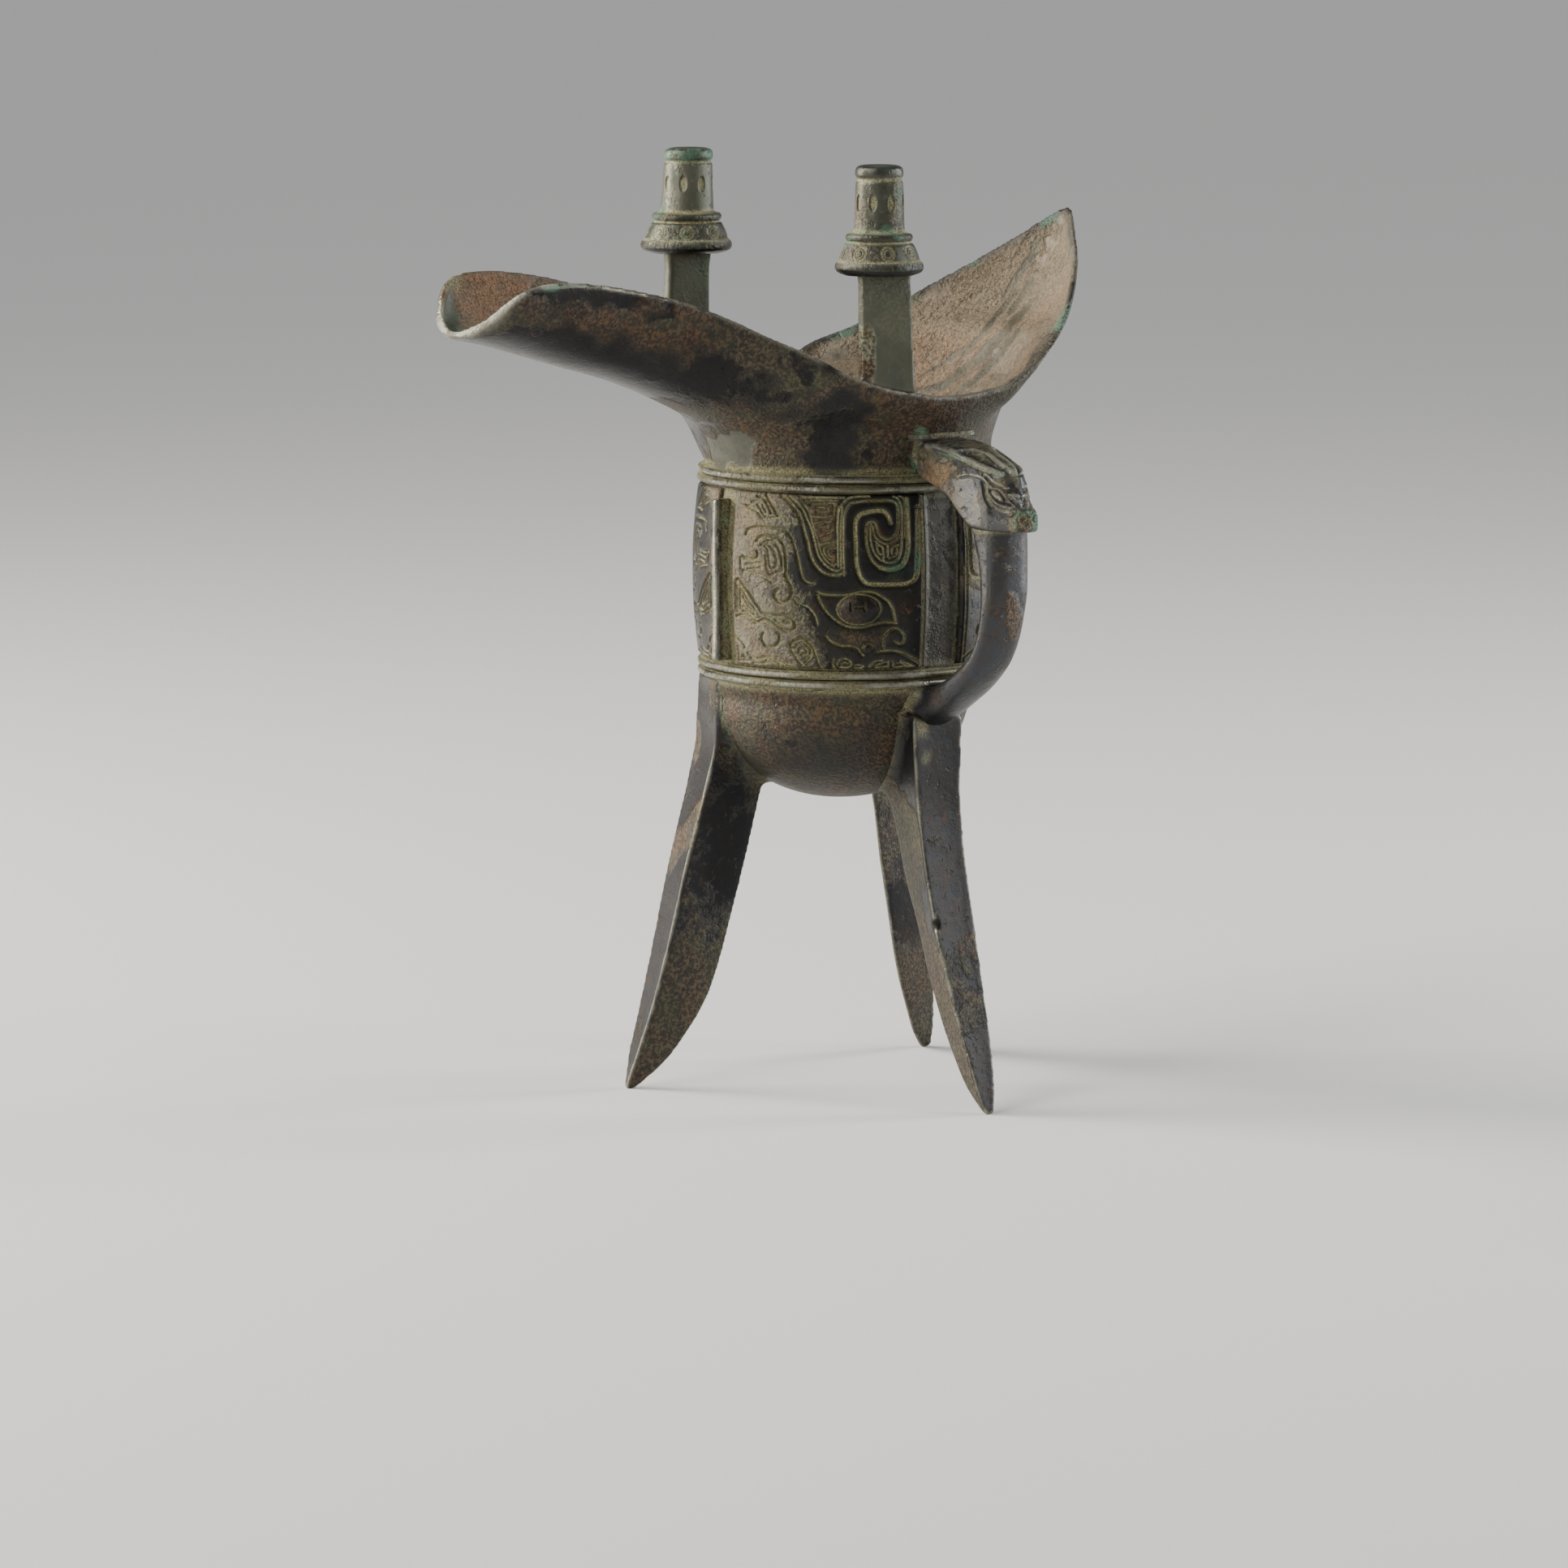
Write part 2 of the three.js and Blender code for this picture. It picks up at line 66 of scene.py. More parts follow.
def photo(v):
    """Where a point of the object falls in the 1932 pixel frame."""
    d = np.asarray(v, float) - CAM_AT
    w = -(d @ CAM_Z)
    return 966 + FOCAL * (d @ CAM_X) / w, 966 - FOCAL * (d @ CAM_Y) / w


# ------------------------------------------------------------ numeric helpers
def smin(a, b, k):
    h = np.clip(0.5 + 0.5 * (b - a) / k, 0, 1)
    return b + (a - b) * h - k * h * (1 - h)


def smax(a, b, k):
    return -smin(-a, -b, k)


def step(a, b, x):
    t = np.clip((x - a) / (b - a), 0, 1)
    return t * t * (3 - 2 * t)


def pchip(x, y, q):
    h = np.diff(x)
    d = np.diff(y) / h
    m = np.zeros(len(x))
    for i in range(1, len(x) - 1):
        if d[i - 1] * d[i] > 0:
            w1, w2 = 2 * h[i] + h[i - 1], h[i] + 2 * h[i - 1]
            m[i] = (w1 + w2) / (w1 / d[i - 1] + w2 / d[i])
    m[0], m[-1] = d[0], d[-1]
    i = np.clip(np.searchsorted(x, q) - 1, 0, len(x) - 2)
    t = (q - x[i]) / h[i]
    val = (
        (1 + 2 * t) * (1 - t) ** 2 * y[i] + t * (1 - t) ** 2 * h[i] * m[i]
        + t * t * (3 - 2 * t) * y[i + 1] + t * t * (t - 1) * h[i] * m[i + 1]
    )
    val = np.where(q < x[0], y[0] + (q - x[0]) * m[0], val)
    return np.where(q > x[-1], y[-1] + (q - x[-1]) * m[-1], val)


def smooth_table(rows, sigma=1.0, pad=14.0):
    """A fine, slightly smoothed table of a coarse measured one."""
    a = np.array(rows, float)
    xs = np.arange(a[0, 0] - pad, a[-1, 0] + pad, 0.1)
    ys = pchip(a[:, 0], a[:, 1], xs)
    if sigma:
        n = int(sigma * 40)
        k = np.exp(-0.5 * (np.arange(-n, n + 1) * 0.1 / sigma) ** 2)
        k /= k.sum()
        ext = np.concatenate([
            ys[0] + (ys[1] - ys[0]) * np.arange(-n, 0),
            ys,
            ys[-1] + (ys[-1] - ys[-2]) * np.arange(1, n + 1),
        ])
        ys = np.convolve(ext, k, "valid")
    return xs, ys


def look(table, x):
    return np.interp(x, table[0], table[1]).astype(F4)


def spline(pts, gap=0.3):
    """Catmull-Rom line through the points, sampled about every gap mm."""
    p = np.array(pts, float)
    if len(p) < 3:
        n = max(2, int(np.linalg.norm(p[1] - p[0]) / gap) + 1)
        t = np.linspace(0, 1, n)[:, None]
        return p[0] * (1 - t) + p[1] * t
    q = np.vstack([2 * p[0] - p[1], p, 2 * p[-1] - p[-2]])
    out = []
    for i in range(1, len(q) - 2):
        n = max(1, int(np.linalg.norm(q[i + 1] - q[i]) / gap))
        t = (np.arange(n) / n)[:, None]
        a, b, c, d = q[i - 1], q[i], q[i + 1], q[i + 2]
        out.append(0.5 * (2 * b + (c - a) * t + (2 * a - 5 * b + 4 * c - d) * t ** 2
                          + (3 * b - a - 3 * c + d) * t ** 3))
    out.append(p[-1:])
    return np.vstack(out)


def stroke(field, u, v, pts, half, soft):
    """Raises field (0 to 1) along a line drawn on the (u, v) grid."""
    line = spline(pts)
    reach = half + soft
    for a, b in zip(line[:-1], line[1:]):
        i0, i1 = np.searchsorted(u, [min(a[0], b[0]) - reach, max(a[0], b[0]) + reach])
        j0, j1 = np.searchsorted(v, [min(a[1], b[1]) - reach, max(a[1], b[1]) + reach])
        if i0 >= i1 or j0 >= j1:
            continue
        U = u[i0:i1, None] - a[0]
        V = v[None, j0:j1] - a[1]
        e = b - a
        t = np.clip((U * e[0] + V * e[1]) / max(e @ e, 1e-9), 0, 1)
        d = np.hypot(U - t * e[0], V - t * e[1])
        m = 1 - step(half - soft, half + soft, d)
        np.maximum(field[i0:i1, j0:j1], m, out=field[i0:i1, j0:j1])


def inside(poly, U, V):
    p = np.array(poly, float)
    hit = np.zeros(np.broadcast(U, V).shape, bool)
    for (x0, y0), (x1, y1) in zip(p, np.roll(p, -1, 0)):
        if y0 == y1:
            continue
        c = ((y0 > V) != (y1 > V)) & (U < (x1 - x0) * (V - y0) / (y1 - y0) + x0)
        hit ^= c
    return hit


def waves(seed, n, lo, hi):
    """A smooth random function of (x, y, z), about -1 to 1."""
    r = np.random.default_rng(seed)
    k = r.normal(size=(n, 3))
    k *= (r.uniform(lo, hi, n) / np.linalg.norm(k, axis=1))[:, None]
    ph = r.uniform(0, 2 * math.pi, n)

    def f(x, y, z):
        s = 0
        for i in range(n):
            s = s + np.sin(k[i, 0] * x + k[i, 1] * y + k[i, 2] * z + ph[i])
        return s / math.sqrt(n / 2) * 0.6
    return f


# --------------------------------------------------- solid field to quad mesh
def axes(lo, hi, h):
    return [np.arange(a, b + h, h).astype(F4) for a, b in zip(lo, hi)]


def unit(f, h):
    """Scale a field so that its slope is about 1."""
    g = np.gradient(f, h)
    n = np.sqrt(g[0] ** 2 + g[1] ** 2 + g[2] ** 2)
    return (f / np.maximum(n, 0.35)).astype(F4)


def skin(f, ax, h, relax=2):
    """Dual mesh of the zero level of f; returns vertices and quads."""
    s = f < 0
    c = np.zeros(tuple(n - 1 for n in f.shape), np.int8)
    for i in (0, 1):
        for j in (0, 1):
            for k in (0, 1):
                c += s[i:f.shape[0] - 1 + i, j:f.shape[1] - 1 + j, k:f.shape[2] - 1 + k]
    act = (c > 0) & (c < 8)
    cell = np.argwhere(act)
    ids = np.full(act.shape, -1, np.int32)
    ids[act] = np.arange(len(cell))
    acc = np.zeros((len(cell), 3))
    num = np.zeros(len(cell))
    for ax_i in range(3):
        o1, o2 = [a for a in range(3) if a != ax_i]
        for p in (0, 1):
            for q in (0, 1):
                c0 = cell.copy()
                c0[:, o1] += p
                c0[:, o2] += q
                c1 = c0.copy()
                c1[:, ax_i] += 1
                v0 = f[c0[:, 0], c0[:, 1], c0[:, 2]]
                v1 = f[c1[:, 0], c1[:, 1], c1[:, 2]]
                m = (v0 < 0) != (v1 < 0)
                t = v0[m] / (v0[m] - v1[m])
                pos = c0[m].astype(float)
                pos[:, ax_i] += t
                acc[m] += pos
                num[m] += 1
    vert = acc / num[:, None] * h + np.array([a[0] for a in ax])
    quads = []
    for ax_i in range(3):
        o1, o2 = [(1, 2), (2, 0), (0, 1)][ax_i]
        n = f.shape
        sl0 = [slice(1, n[d] - 1) for d in range(3)]
        sl0[ax_i] = slice(0, n[ax_i] - 1)
        sl1 = list(sl0)
        sl1[ax_i] = slice(1, n[ax_i])
        a, b = s[tuple(sl0)], s[tuple(sl1)]
        for flip in (False, True):
            e = np.argwhere((a & ~b) if not flip else (~a & b))
            if not len(e):
                continue
            e = e + np.array([s_.start for s_ in sl0])
            ring = []
            for p, q in ((1, 1), (0, 1), (0, 0), (1, 0)):
                d = e.copy()
                d[:, o1] -= p
                d[:, o2] -= q
                ring.append(ids[d[:, 0], d[:, 1], d[:, 2]])
            r = np.stack(ring, 1)
            quads.append(r[:, ::-1] if flip else r)
    quads = np.vstack(quads)
    quads = quads[(quads >= 0).all(1)]
    e = np.vstack([quads[:, [i, (i + 1) % 4]] for i in range(4)])
    deg = np.bincount(e[:, 0], minlength=len(vert)).astype(float)
    deg[deg == 0] = 1
    for _ in range(relax):
        avg = np.stack([
            np.bincount(e[:, 0], weights=vert[e[:, 1], i], minlength=len(vert)) for i in range(3)
        ], 1) / deg[:, None]
        vert += 0.5 * (avg - vert)
    return vert, quads


def probe(f, ax, h, v):
    """Value of a gridded field at the vertices."""
    p = (v - np.array([a[0] for a in ax])) / h
    i = np.clip(np.floor(p).astype(int), 0, np.array(f.shape) - 2)
    t = p - i
    out = 0
    for dx in (0, 1):
        for dy in (0, 1):
            for dz in (0, 1):
                w = (t[:, 0] if dx else 1 - t[:, 0]) * (t[:, 1] if dy else 1 - t[:, 1]) * (
                    t[:, 2] if dz else 1 - t[:, 2])
                out = out + w * f[i[:, 0] + dx, i[:, 1] + dy, i[:, 2] + dz]
    return out


def bend(v, quads, scale):
    """Convex edges above 0, creases below 0, from the mesh itself."""
    e = np.vstack([quads[:, [i, (i + 1) % 4]] for i in range(4)])
    deg = np.maximum(np.bincount(e[:, 0], minlength=len(v)), 1).astype(float)
    tri = v[quads]
    nrm = np.cross(tri[:, 2] - tri[:, 0], tri[:, 3] - tri[:, 1])
    vn = np.stack([
        sum(np.bincount(quads[:, i], weights=nrm[:, k], minlength=len(v)) for i in range(4))
        for k in range(3)
    ], 1)
    vn /= np.maximum(np.linalg.norm(vn, axis=1), 1e-9)[:, None]
    avg = np.stack([
        np.bincount(e[:, 0], weights=v[e[:, 1], k], minlength=len(v)) for k in range(3)
    ], 1) / deg[:, None]
    c = -((avg - v) * vn).sum(1) / scale
    for _ in range(2):
        c = 0.5 * c + 0.5 * np.bincount(e[:, 0], weights=c[e[:, 1]], minlength=len(v)) / deg
    return c


def normals(v, quads):
    tri = v[quads]
    nrm = np.cross(tri[:, 2] - tri[:, 0], tri[:, 3] - tri[:, 1])
    vn = np.stack([
        sum(np.bincount(quads[:, i], weights=nrm[:, k], minlength=len(v)) for i in range(4))
        for k in range(3)
    ], 1)
    return vn / np.maximum(np.linalg.norm(vn, axis=1), 1e-9)[:, None]


def blob(v, cx, cy, rx, ry, turn=0.0, ragged=0.3, seed=1, edge=0.34):
    """A ragged oval patch: centre and half sizes in photo pixels."""
    px, py = photo(v)
    c, s = math.cos(math.radians(turn)), math.sin(math.radians(turn))
    a = ((px - cx) * c + (py - cy) * s) / rx
    b = (-(px - cx) * s + (py - cy) * c) / ry
    q = np.hypot(a, b) + ragged * waves(seed, 16, 0.25, 1.3)(*v.T)
    return step(1 + edge, 1 - edge, q)


def facing(v, quads):
    """1 where the surface looks at the photo's camera."""
    d = CAM_AT - v
    d /= np.linalg.norm(d, axis=1)[:, None]
    return step(0.02, 0.12, (normals(v, quads) * d).sum(1))


# ------------------------------------------------------------------ materials
KEYS = ("cav", "worn", "tan", "fresh", "rust", "mala", "stain", "fill")


def bronze(name, metal, brown, tops_dust_and_highlight, rusty=0.5, green=0.3, seed=0.0, gloss=0.36, grain=1.0, cover=0.485):
    """Aged bronze. Mesh attributes steer it: cav earth in creases, worn rubbed
    edges, tan sandy ground, fresh smooth dark metal, rust, mala green
    corrosion, stain glossy black, which is real staining in some places and painted shade in others, fill smooth
    grey-green."""
    m = bpy.data.materials.new(name)
    m.use_nodes = True
    nt = m.node_tree
    N, L = nt.nodes, nt.links
    N.clear()
    out = N.new("ShaderNodeOutputMaterial")
    bs = N.new("ShaderNodeBsdfPrincipled")
    L.new(bs.outputs[0], out.inputs[0])
    tc = N.new("ShaderNodeTexCoord")

    def noise(scale, detail=5.0, w=0.0, rough=0.6, dist=0.0):
        n = N.new("ShaderNodeTexNoise")
        n.noise_dimensions = "4D"
        n.inputs["Scale"].default_value = scale
        n.inputs["Detail"].default_value = detail
        n.inputs["Roughness"].default_value = rough
        n.inputs["Distortion"].default_value = dist
        n.inputs["W"].default_value = seed + w
        L.new(tc.outputs["Object"], n.inputs["Vector"])
        return n.outputs["Fac"]

    def span(v, a, b, c0=0.0, c1=1.0):
        r = N.new("ShaderNodeMapRange")
        r.interpolation_type = "SMOOTHSTEP"
        for key, val in (("From Min", a), ("From Max", b), ("To Min", c0), ("To Max", c1)):
            r.inputs[key].default_value = val
        L.new(v, r.inputs["Value"])
        return r.outputs[0]

    def calc(op, a, b, clamp=False):
        x = N.new("ShaderNodeMath")
        x.operation = op
        x.use_clamp = clamp
        for i, v in enumerate((a, b)):
            if isinstance(v, (int, float)):
                x.inputs[i].default_value = v
            else:
                L.new(v, x.inputs[i])
        return x.outputs[0]

    def mul(a, b):
        return calc("MULTIPLY", a, b, True)

    def rest(a):
        return calc("SUBTRACT", 1.0, a, True)

    def mix(fac, a, b):
        x = N.new("ShaderNodeMix")
        x.data_type = "RGBA"
        L.new(fac, x.inputs[0])
        for sock, v in ((x.inputs[6], a), (x.inputs[7], b)):
            if isinstance(v, tuple):
                sock.default_value = (*v, 1)
            else:
                L.new(v, sock)
        return x.outputs[2]

    def attr(key):
        a = N.new("ShaderNodeAttribute")
        a.attribute_name = key
        return a.outputs["Fac"]

    cav, worn, tan, fresh, rust, mala, stain, fill = [attr(k) for k in KEYS]
    big = noise(48, 5, 1.0, 0.55, 0.3)
    mid = noise(200, 6, 2.0, 0.66)
    gr = noise(1050 / grain, 3, 3.0, 0.6, 0.4)       # grains under a millimetre
    grit = noise(2700, 3, 4.0, 0.65)
    # 0 smooth dark metal, 1 granular crust; ragged, fairly sharp borders
    patch = calc("ADD", calc("MULTIPLY", big, 0.62), calc("MULTIPLY", mid, 0.38))
    patch = calc("SUBTRACT", patch, calc("MULTIPLY", calc("SUBTRACT", fresh, 0.5), 0.24))
    crust = span(patch, cover - 0.03, cover + 0.03)
    crust = calc("MAXIMUM", crust, mul(rust, 0.9), True)
    crust = mul(crust, rest(calc("MAXIMUM", stain, fill)))

    c_metal = mix(span(mid, 0.38, 0.62), metal, tuple(0.55 * a + 0.45 * b for a, b in zip(metal, brown)))
    c_metal = mix(span(noise(420, 6, 10.0, 0.75), 0.56, 0.64, 0, 0.7), c_metal, brown)
    hue = noise(130, 6, 6.0, 0.62)
    # the crust is lighter on the tops of its grains and darker between them, following the bump height: partly dust and
    # tone, partly painted highlight and painted shade
    low = mix(span(hue, 0.40, 0.60), tuple(0.8 * b for b in brown), (0.020, 0.020, 0.011))
    high = mix(span(hue, 0.44, 0.6), tops_dust_and_highlight, (tops_dust_and_highlight[0] * 0.8, tops_dust_and_highlight[1] * 0.98, tops_dust_and_highlight[2] * 0.8))
    crust_tone_and_grain_light = mix(span(gr, 0.44, 0.62), low, high)
    c = mix(crust, c_metal, crust_tone_and_grain_light)
    # orange-brown rust, broken up by the grains and lighter on their tops, which is partly a painted highlight
    r0 = calc("MAXIMUM", span(noise(140, 7, 5.0, 0.72), 0.55, 0.62, 0, rusty), mul(rust, span(mid, 0.38, 0.56, 0.1, 1.0)), True)
    r0 = mul(r0, span(grit, 0.36, 0.62, 0.35, 1.0))
    r0 = mul(r0, rest(calc("MAXIMUM", stain, fill)))
    c = mix(r0, c, mix(span(gr, 0.4, 0.62), (0.020, 0.010, 0.0045), (0.115, 0.051, 0.017)))
    # dull yellow-green bloom
    c = mix(mul(crust, span(noise(105, 7, 7.5, 0.7), 0.6, 0.66, 0, 0.6)), c, (0.082, 0.074, 0.032))
    # sandy ground of the mouth
    fine = calc("ADD", calc("MULTIPLY", grit, 0.6), calc("MULTIPLY", gr, 0.4))
    sand = mix(span(fine, 0.38, 0.60), (0.070, 0.053, 0.034), (0.205, 0.162, 0.104))
    sand = mix(span(noise(420, 6, 7.7, 0.7), 0.56, 0.68, 0, 0.40), sand, (0.170, 0.098, 0.052))
    sand = mix(span(noise(85, 7, 7.0, 0.6), 0.57, 0.62, 0, 0.5), sand, (0.082, 0.082, 0.066))
    sand = mix(mul(rust, span(mid, 0.34, 0.56)), sand, mix(span(fine, 0.38, 0.60), (0.100, 0.050, 0.024), (0.330, 0.190, 0.105)))
    c = mix(mul(tan, span(mid, 0.2, 0.42)), c, sand)
    # earth in the creases
    earth = mix(span(grit, 0.38, 0.6), (0.095, 0.094, 0.044), (0.34, 0.325, 0.175))
    earth = mix(span(noise(260, 6, 8.4, 0.7), 0.55, 0.64, 0, 0.55), earth, (0.20, 0.12, 0.055))
    c = mix(mul(cav, span(mid, 0.25, 0.5, 0.6, 1.0)), c, earth)
    spots = span(noise(175, 8, 8.0, 0.75), 0.605, 0.655)
    near = calc("ADD", calc("MULTIPLY", cav, 0.6), green, True)
    spots = mul(spots, near)
    spots = calc("MAXIMUM", spots, mul(mala, span(mid, 0.42, 0.52)), True)
    c = mix(spots, c, mix(span(grit, 0.35, 0.6), (0.028, 0.088, 0.056), (0.092, 0.232, 0.148)))
    rub = mul(worn, span(mid, 0.3, 0.58, 0.45, 1.0))
    c = mix(rub, c, (0.30, 0.295, 0.235))
    c = mix(fill, c, mix(span(mid, 0.35, 0.62), (0.034, 0.039, 0.026), (0.068, 0.070, 0.045)))
    c = mix(stain, c, (0.005, 0.0055, 0.007))
    L.new(c, bs.inputs["Base Color"])

    rough = calc("ADD", calc("MULTIPLY", crust, 0.17), span(grit, 0.3, 0.7, gloss - 0.05, gloss + 0.07))
    rough = calc("ADD", rough, calc("MULTIPLY", calc("MAXIMUM", cav, tan), 0.26))
    rough = calc("ADD", rough, calc("MULTIPLY", spots, 0.2))
    rough = calc("ADD", rough, calc("MULTIPLY", fill, 0.12))
    rough = calc("SUBTRACT", rough, calc("MULTIPLY", rub, 0.14), True)
    L.new(rough, bs.inputs["Roughness"])
    metal_f = calc("SUBTRACT", 0.62, calc("MULTIPLY", crust, 0.40), True)
    metal_f = mul(metal_f, rest(calc("MAXIMUM", cav, tan)))
    metal_f = mul(metal_f, rest(calc("MAXIMUM", spots, fill)))
    L.new(metal_f, bs.inputs["Metallic"])
    bs.inputs["Specular IOR Level"].default_value = 0.42

    # height in millimetres
    h = calc("MULTIPLY", calc("ADD", calc("MULTIPLY", gr, 0.50), calc("MULTIPLY", grit, 0.16)), calc("ADD", calc("MULTIPLY", crust, 0.93), 0.07))
    h = calc("ADD", h, calc("MULTIPLY", crust, 0.07))
    pits = span(noise(620, 4, 9.0, 0.6), 0.60, 0.68, 0.0, -0.16)
    h = calc("ADD", h, calc("MULTIPLY", pits, rest(calc("MAXIMUM", stain, fill))))
    h = calc("ADD", h, calc("MULTIPLY", mid, 0.28))
    b = N.new("ShaderNodeBump")
    b.inputs["Strength"].default_value = 1.0
    b.inputs["Distance"].default_value = 0.001
    L.new(h, b.inputs["Height"])
    L.new(b.outputs[0], bs.inputs["Normal"])
    return m


MATS = {
    "vessel_bronze": bronze("vessel_bronze", (0.0085, 0.0085, 0.0095), (0.018, 0.013, 0.008), (0.074, 0.054, 0.029), 0.6, 0.05, 0.0, 0.35, 0.85, 0.475),
    "relief_bronze": bronze("relief_bronze", (0.0135, 0.0145, 0.0145), (0.024, 0.020, 0.013), (0.105, 0.090, 0.050), 0.5, 0.10, 11.0, 0.34, 0.8, 0.505),
    "handle_bronze": bronze("handle_bronze", (0.040, 0.044, 0.050), (0.046, 0.038, 0.027), (0.150, 0.122, 0.072), 0.5, 0.22, 22.0, 0.35, 0.8, 0.48),
    "post_bronze": bronze("post_bronze", (0.088, 0.092, 0.068), (0.058, 0.054, 0.034), (0.190, 0.190, 0.120), 0.4, 0.26, 33.0, 0.38, 0.8, 0.485),
    "leg_bronze": bronze("leg_bronze", (0.017, 0.018, 0.020), (0.023, 0.017, 0.011), (0.082, 0.060, 0.032), 0.5, 0.04, 44.0, 0.36, 0.85, 0.50),
}
slots = {s["node"]: s["material_slot"] for s in frame["record"]["subparts"]}


def piece(name, vert, faces, slot_name, nodes, **attrs):
    v = np.asarray(vert, float).copy()
    v = v * 0.001
    v[:, 0] += AX
    v[:, 1] += AY
    f = np.asarray(faces, np.int32)
    k = f.shape[1]
    me = bpy.data.meshes.new(name)
    me.vertices.add(len(v))
    me.vertices.foreach_set("co", v.astype(F4).ravel())
    me.loops.add(f.size)
    me.loops.foreach_set("vertex_index", f.ravel())
    me.polygons.add(len(f))
    me.polygons.foreach_set("loop_start", np.arange(0, f.size, k, dtype=np.int32))
    me.polygons.foreach_set("loop_total", np.full(len(f), k, np.int32))
    me.polygons.foreach_set("use_smooth", np.ones(len(f), bool))
    me.update(calc_edges=True)
    me.validate()
    for key in KEYS:
        val = attrs.get(key, 0.0)
        a = me.attributes.new(key, "FLOAT", "POINT")
        a.data.foreach_set("value", np.broadcast_to(np.clip(val, 0, 1), (len(v),)).astype(F4))
    me.materials.append(MATS[slot_name])
    ob = bpy.data.objects.new(name, me)
    bpy.context.scene.collection.objects.link(ob)
    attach(ob, "root")
    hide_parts(*nodes)
    print("piece", name, len(f), "faces")
    return ob


def sheet_faces(nu, nv, wrap=False):
    i = np.arange(nu if wrap else nu - 1)
    j = np.arange(nv - 1)
    I, J = np.meshgrid(i, j, indexing="ij")
    I2 = (I + 1) % nu
    return np.stack([I * nv + J, I2 * nv + J, I2 * nv + J + 1, I * nv + J + 1], -1).reshape(-1, 4)


# ------------------------------------------------------------- measured shape
HALF_W = smooth_table([(-107.9, 0.1), (-107.7, 1.3), (-107.4, 2.6), (-107.0, 4.4), (-106.4, 6.2), (-105.4, 8.2), (-104.2, 9.9),
    (-103, 11.2), (-101.5, 12.6), (-100, 13.6), (-97, 14.8), (-93, 15.2), (-88, 15.2), (-80, 15.4),
    (-70, 16), (-60, 17.5), (-50, 19.5), (-40, 23.6), (-33, 28.4), (-26, 33), (-18, 36), (-10, 37),
    (0, 38), (10, 39.4), (15, 40.2), (20, 40.2), (24, 38.9), (28, 36.7), (30, 35.5), (34, 32.9),
    (38, 29.9), (40, 28.3), (44, 24.8), (48, 21.0), (50, 19.0), (52, 16.9), (54, 14.7), (56, 12.2),
    (58, 9.3), (60, 6.6), (61.5, 4.5), (62.8, 2.6), (63.6, 1.3), (64.1, 0.2)], 0.5)
RIM_Z = smooth_table([(-107.9, 171.7), (-107.4, 172.0), (-107.0, 172.5), (-106.4, 173.3), (-105.4, 174.4), (-104.2, 175.6),
    (-103, 176.9), (-101.5, 178.7), (-100, 180.3), (-98.5, 181.2), (-97, 182.0), (-95, 182.4),
    (-92, 182.9), (-88, 183.0), (-84, 182.7), (-78, 182.0), (-72, 181.0), (-66, 179.7), (-60, 178.2),
    (-50, 174.7), (-40, 169.8), (-33, 166), (-26, 161.5), (-18, 158.5), (-11, 157.2),
    (-5, 156.3), (0, 156.3), (10, 157.4), (15, 159.3), (20, 162.0), (24, 163.8), (28, 165.5), (34, 168.9),
    (40, 172.7), (44, 175.8), (48, 178.8), (52, 182.0), (56, 185.7), (60, 189.9), (62, 192.0), (63.2, 193.1), (64.1, 193.7)], 0.7)
UNDER_Z = smooth_table([(-107.9, 171.3), (-106.5, 170.8), (-102.9, 170.2), (-91, 167.2),
    (-79, 163.8), (-67, 160.6), (-56, 156.8), (-45, 152.3), (-36, 148.5), (-26, 145.6),
    (-14, 145), (14, 146.5), (20, 154.0), (24, 159.6), (28, 161.9), (32, 163.1), (36, 164.5), (40, 165.4), (45, 166.4),
    (50, 168.6), (54, 172.0), (58, 178.2), (61, 184.3), (64.1, 191.4)], 0.8)


def swell(z):
    return 1.3 * np.maximum(0, 1 - ((z - 115.5) / 19) ** 2)


_z = np.arange(84, 200, 0.1)
_neck = pchip(np.array([139.2, 141.5, 143.7, 147, 149.5, 151.5, 153.3, 155.4, 158, 161, 165, 170]),
              np.array([31.5, 32.1, 32.6, 33.6, 34.4, 35.2, 36.1, 37.9, 40, 41.5, 42.4, 42.8]), _z)
_r = np.where(_z < 96.6, 31.5, np.where(_z < 134.7, 31.9 + swell(_z), np.where(_z < 139.1, 31.6, _neck)))
_r = np.minimum(_r, 42.8)
_k = np.exp(-0.5 * (np.arange(-12, 13) / 4.0) ** 2)
_r = np.convolve(np.pad(_r, 12, "edge"), _k / _k.sum(), "valid")
WALL_R = (_z, _r)


def lean(z):
    """The cast body is not quite true: its neck and belly sit a little to one
    side of the bowstrings' axis."""
    s = 1.3 * step(138, 146, z) + 1.8 * step(91.5, 84, z)
    return -0.779 * s, 0.627 * s


def bowl_field(x, y, z):
    """Outer skin of the round body, about in millimetres."""
    sx, sy = lean(z)
    r = np.sqrt((x - sx) ** 2 + (y - sy) ** 2)
    n = 2.15
    rm = 29.2 + 2.2 * step(87.5, 92, z)
    u = np.maximum((92 - z) / 27.2, 0)
    low = rm * (((r / rm) ** n + u ** n) ** (1 / n) - 1)
    high = r - look(WALL_R, z)
    return np.where(z < 92, low, high).astype(F4)


def rim_height(X, Y):
    return look(RIM_Z, X) + (1.1 * step(-44, -66, X) * step(-3, 7, Y)).astype(F4)


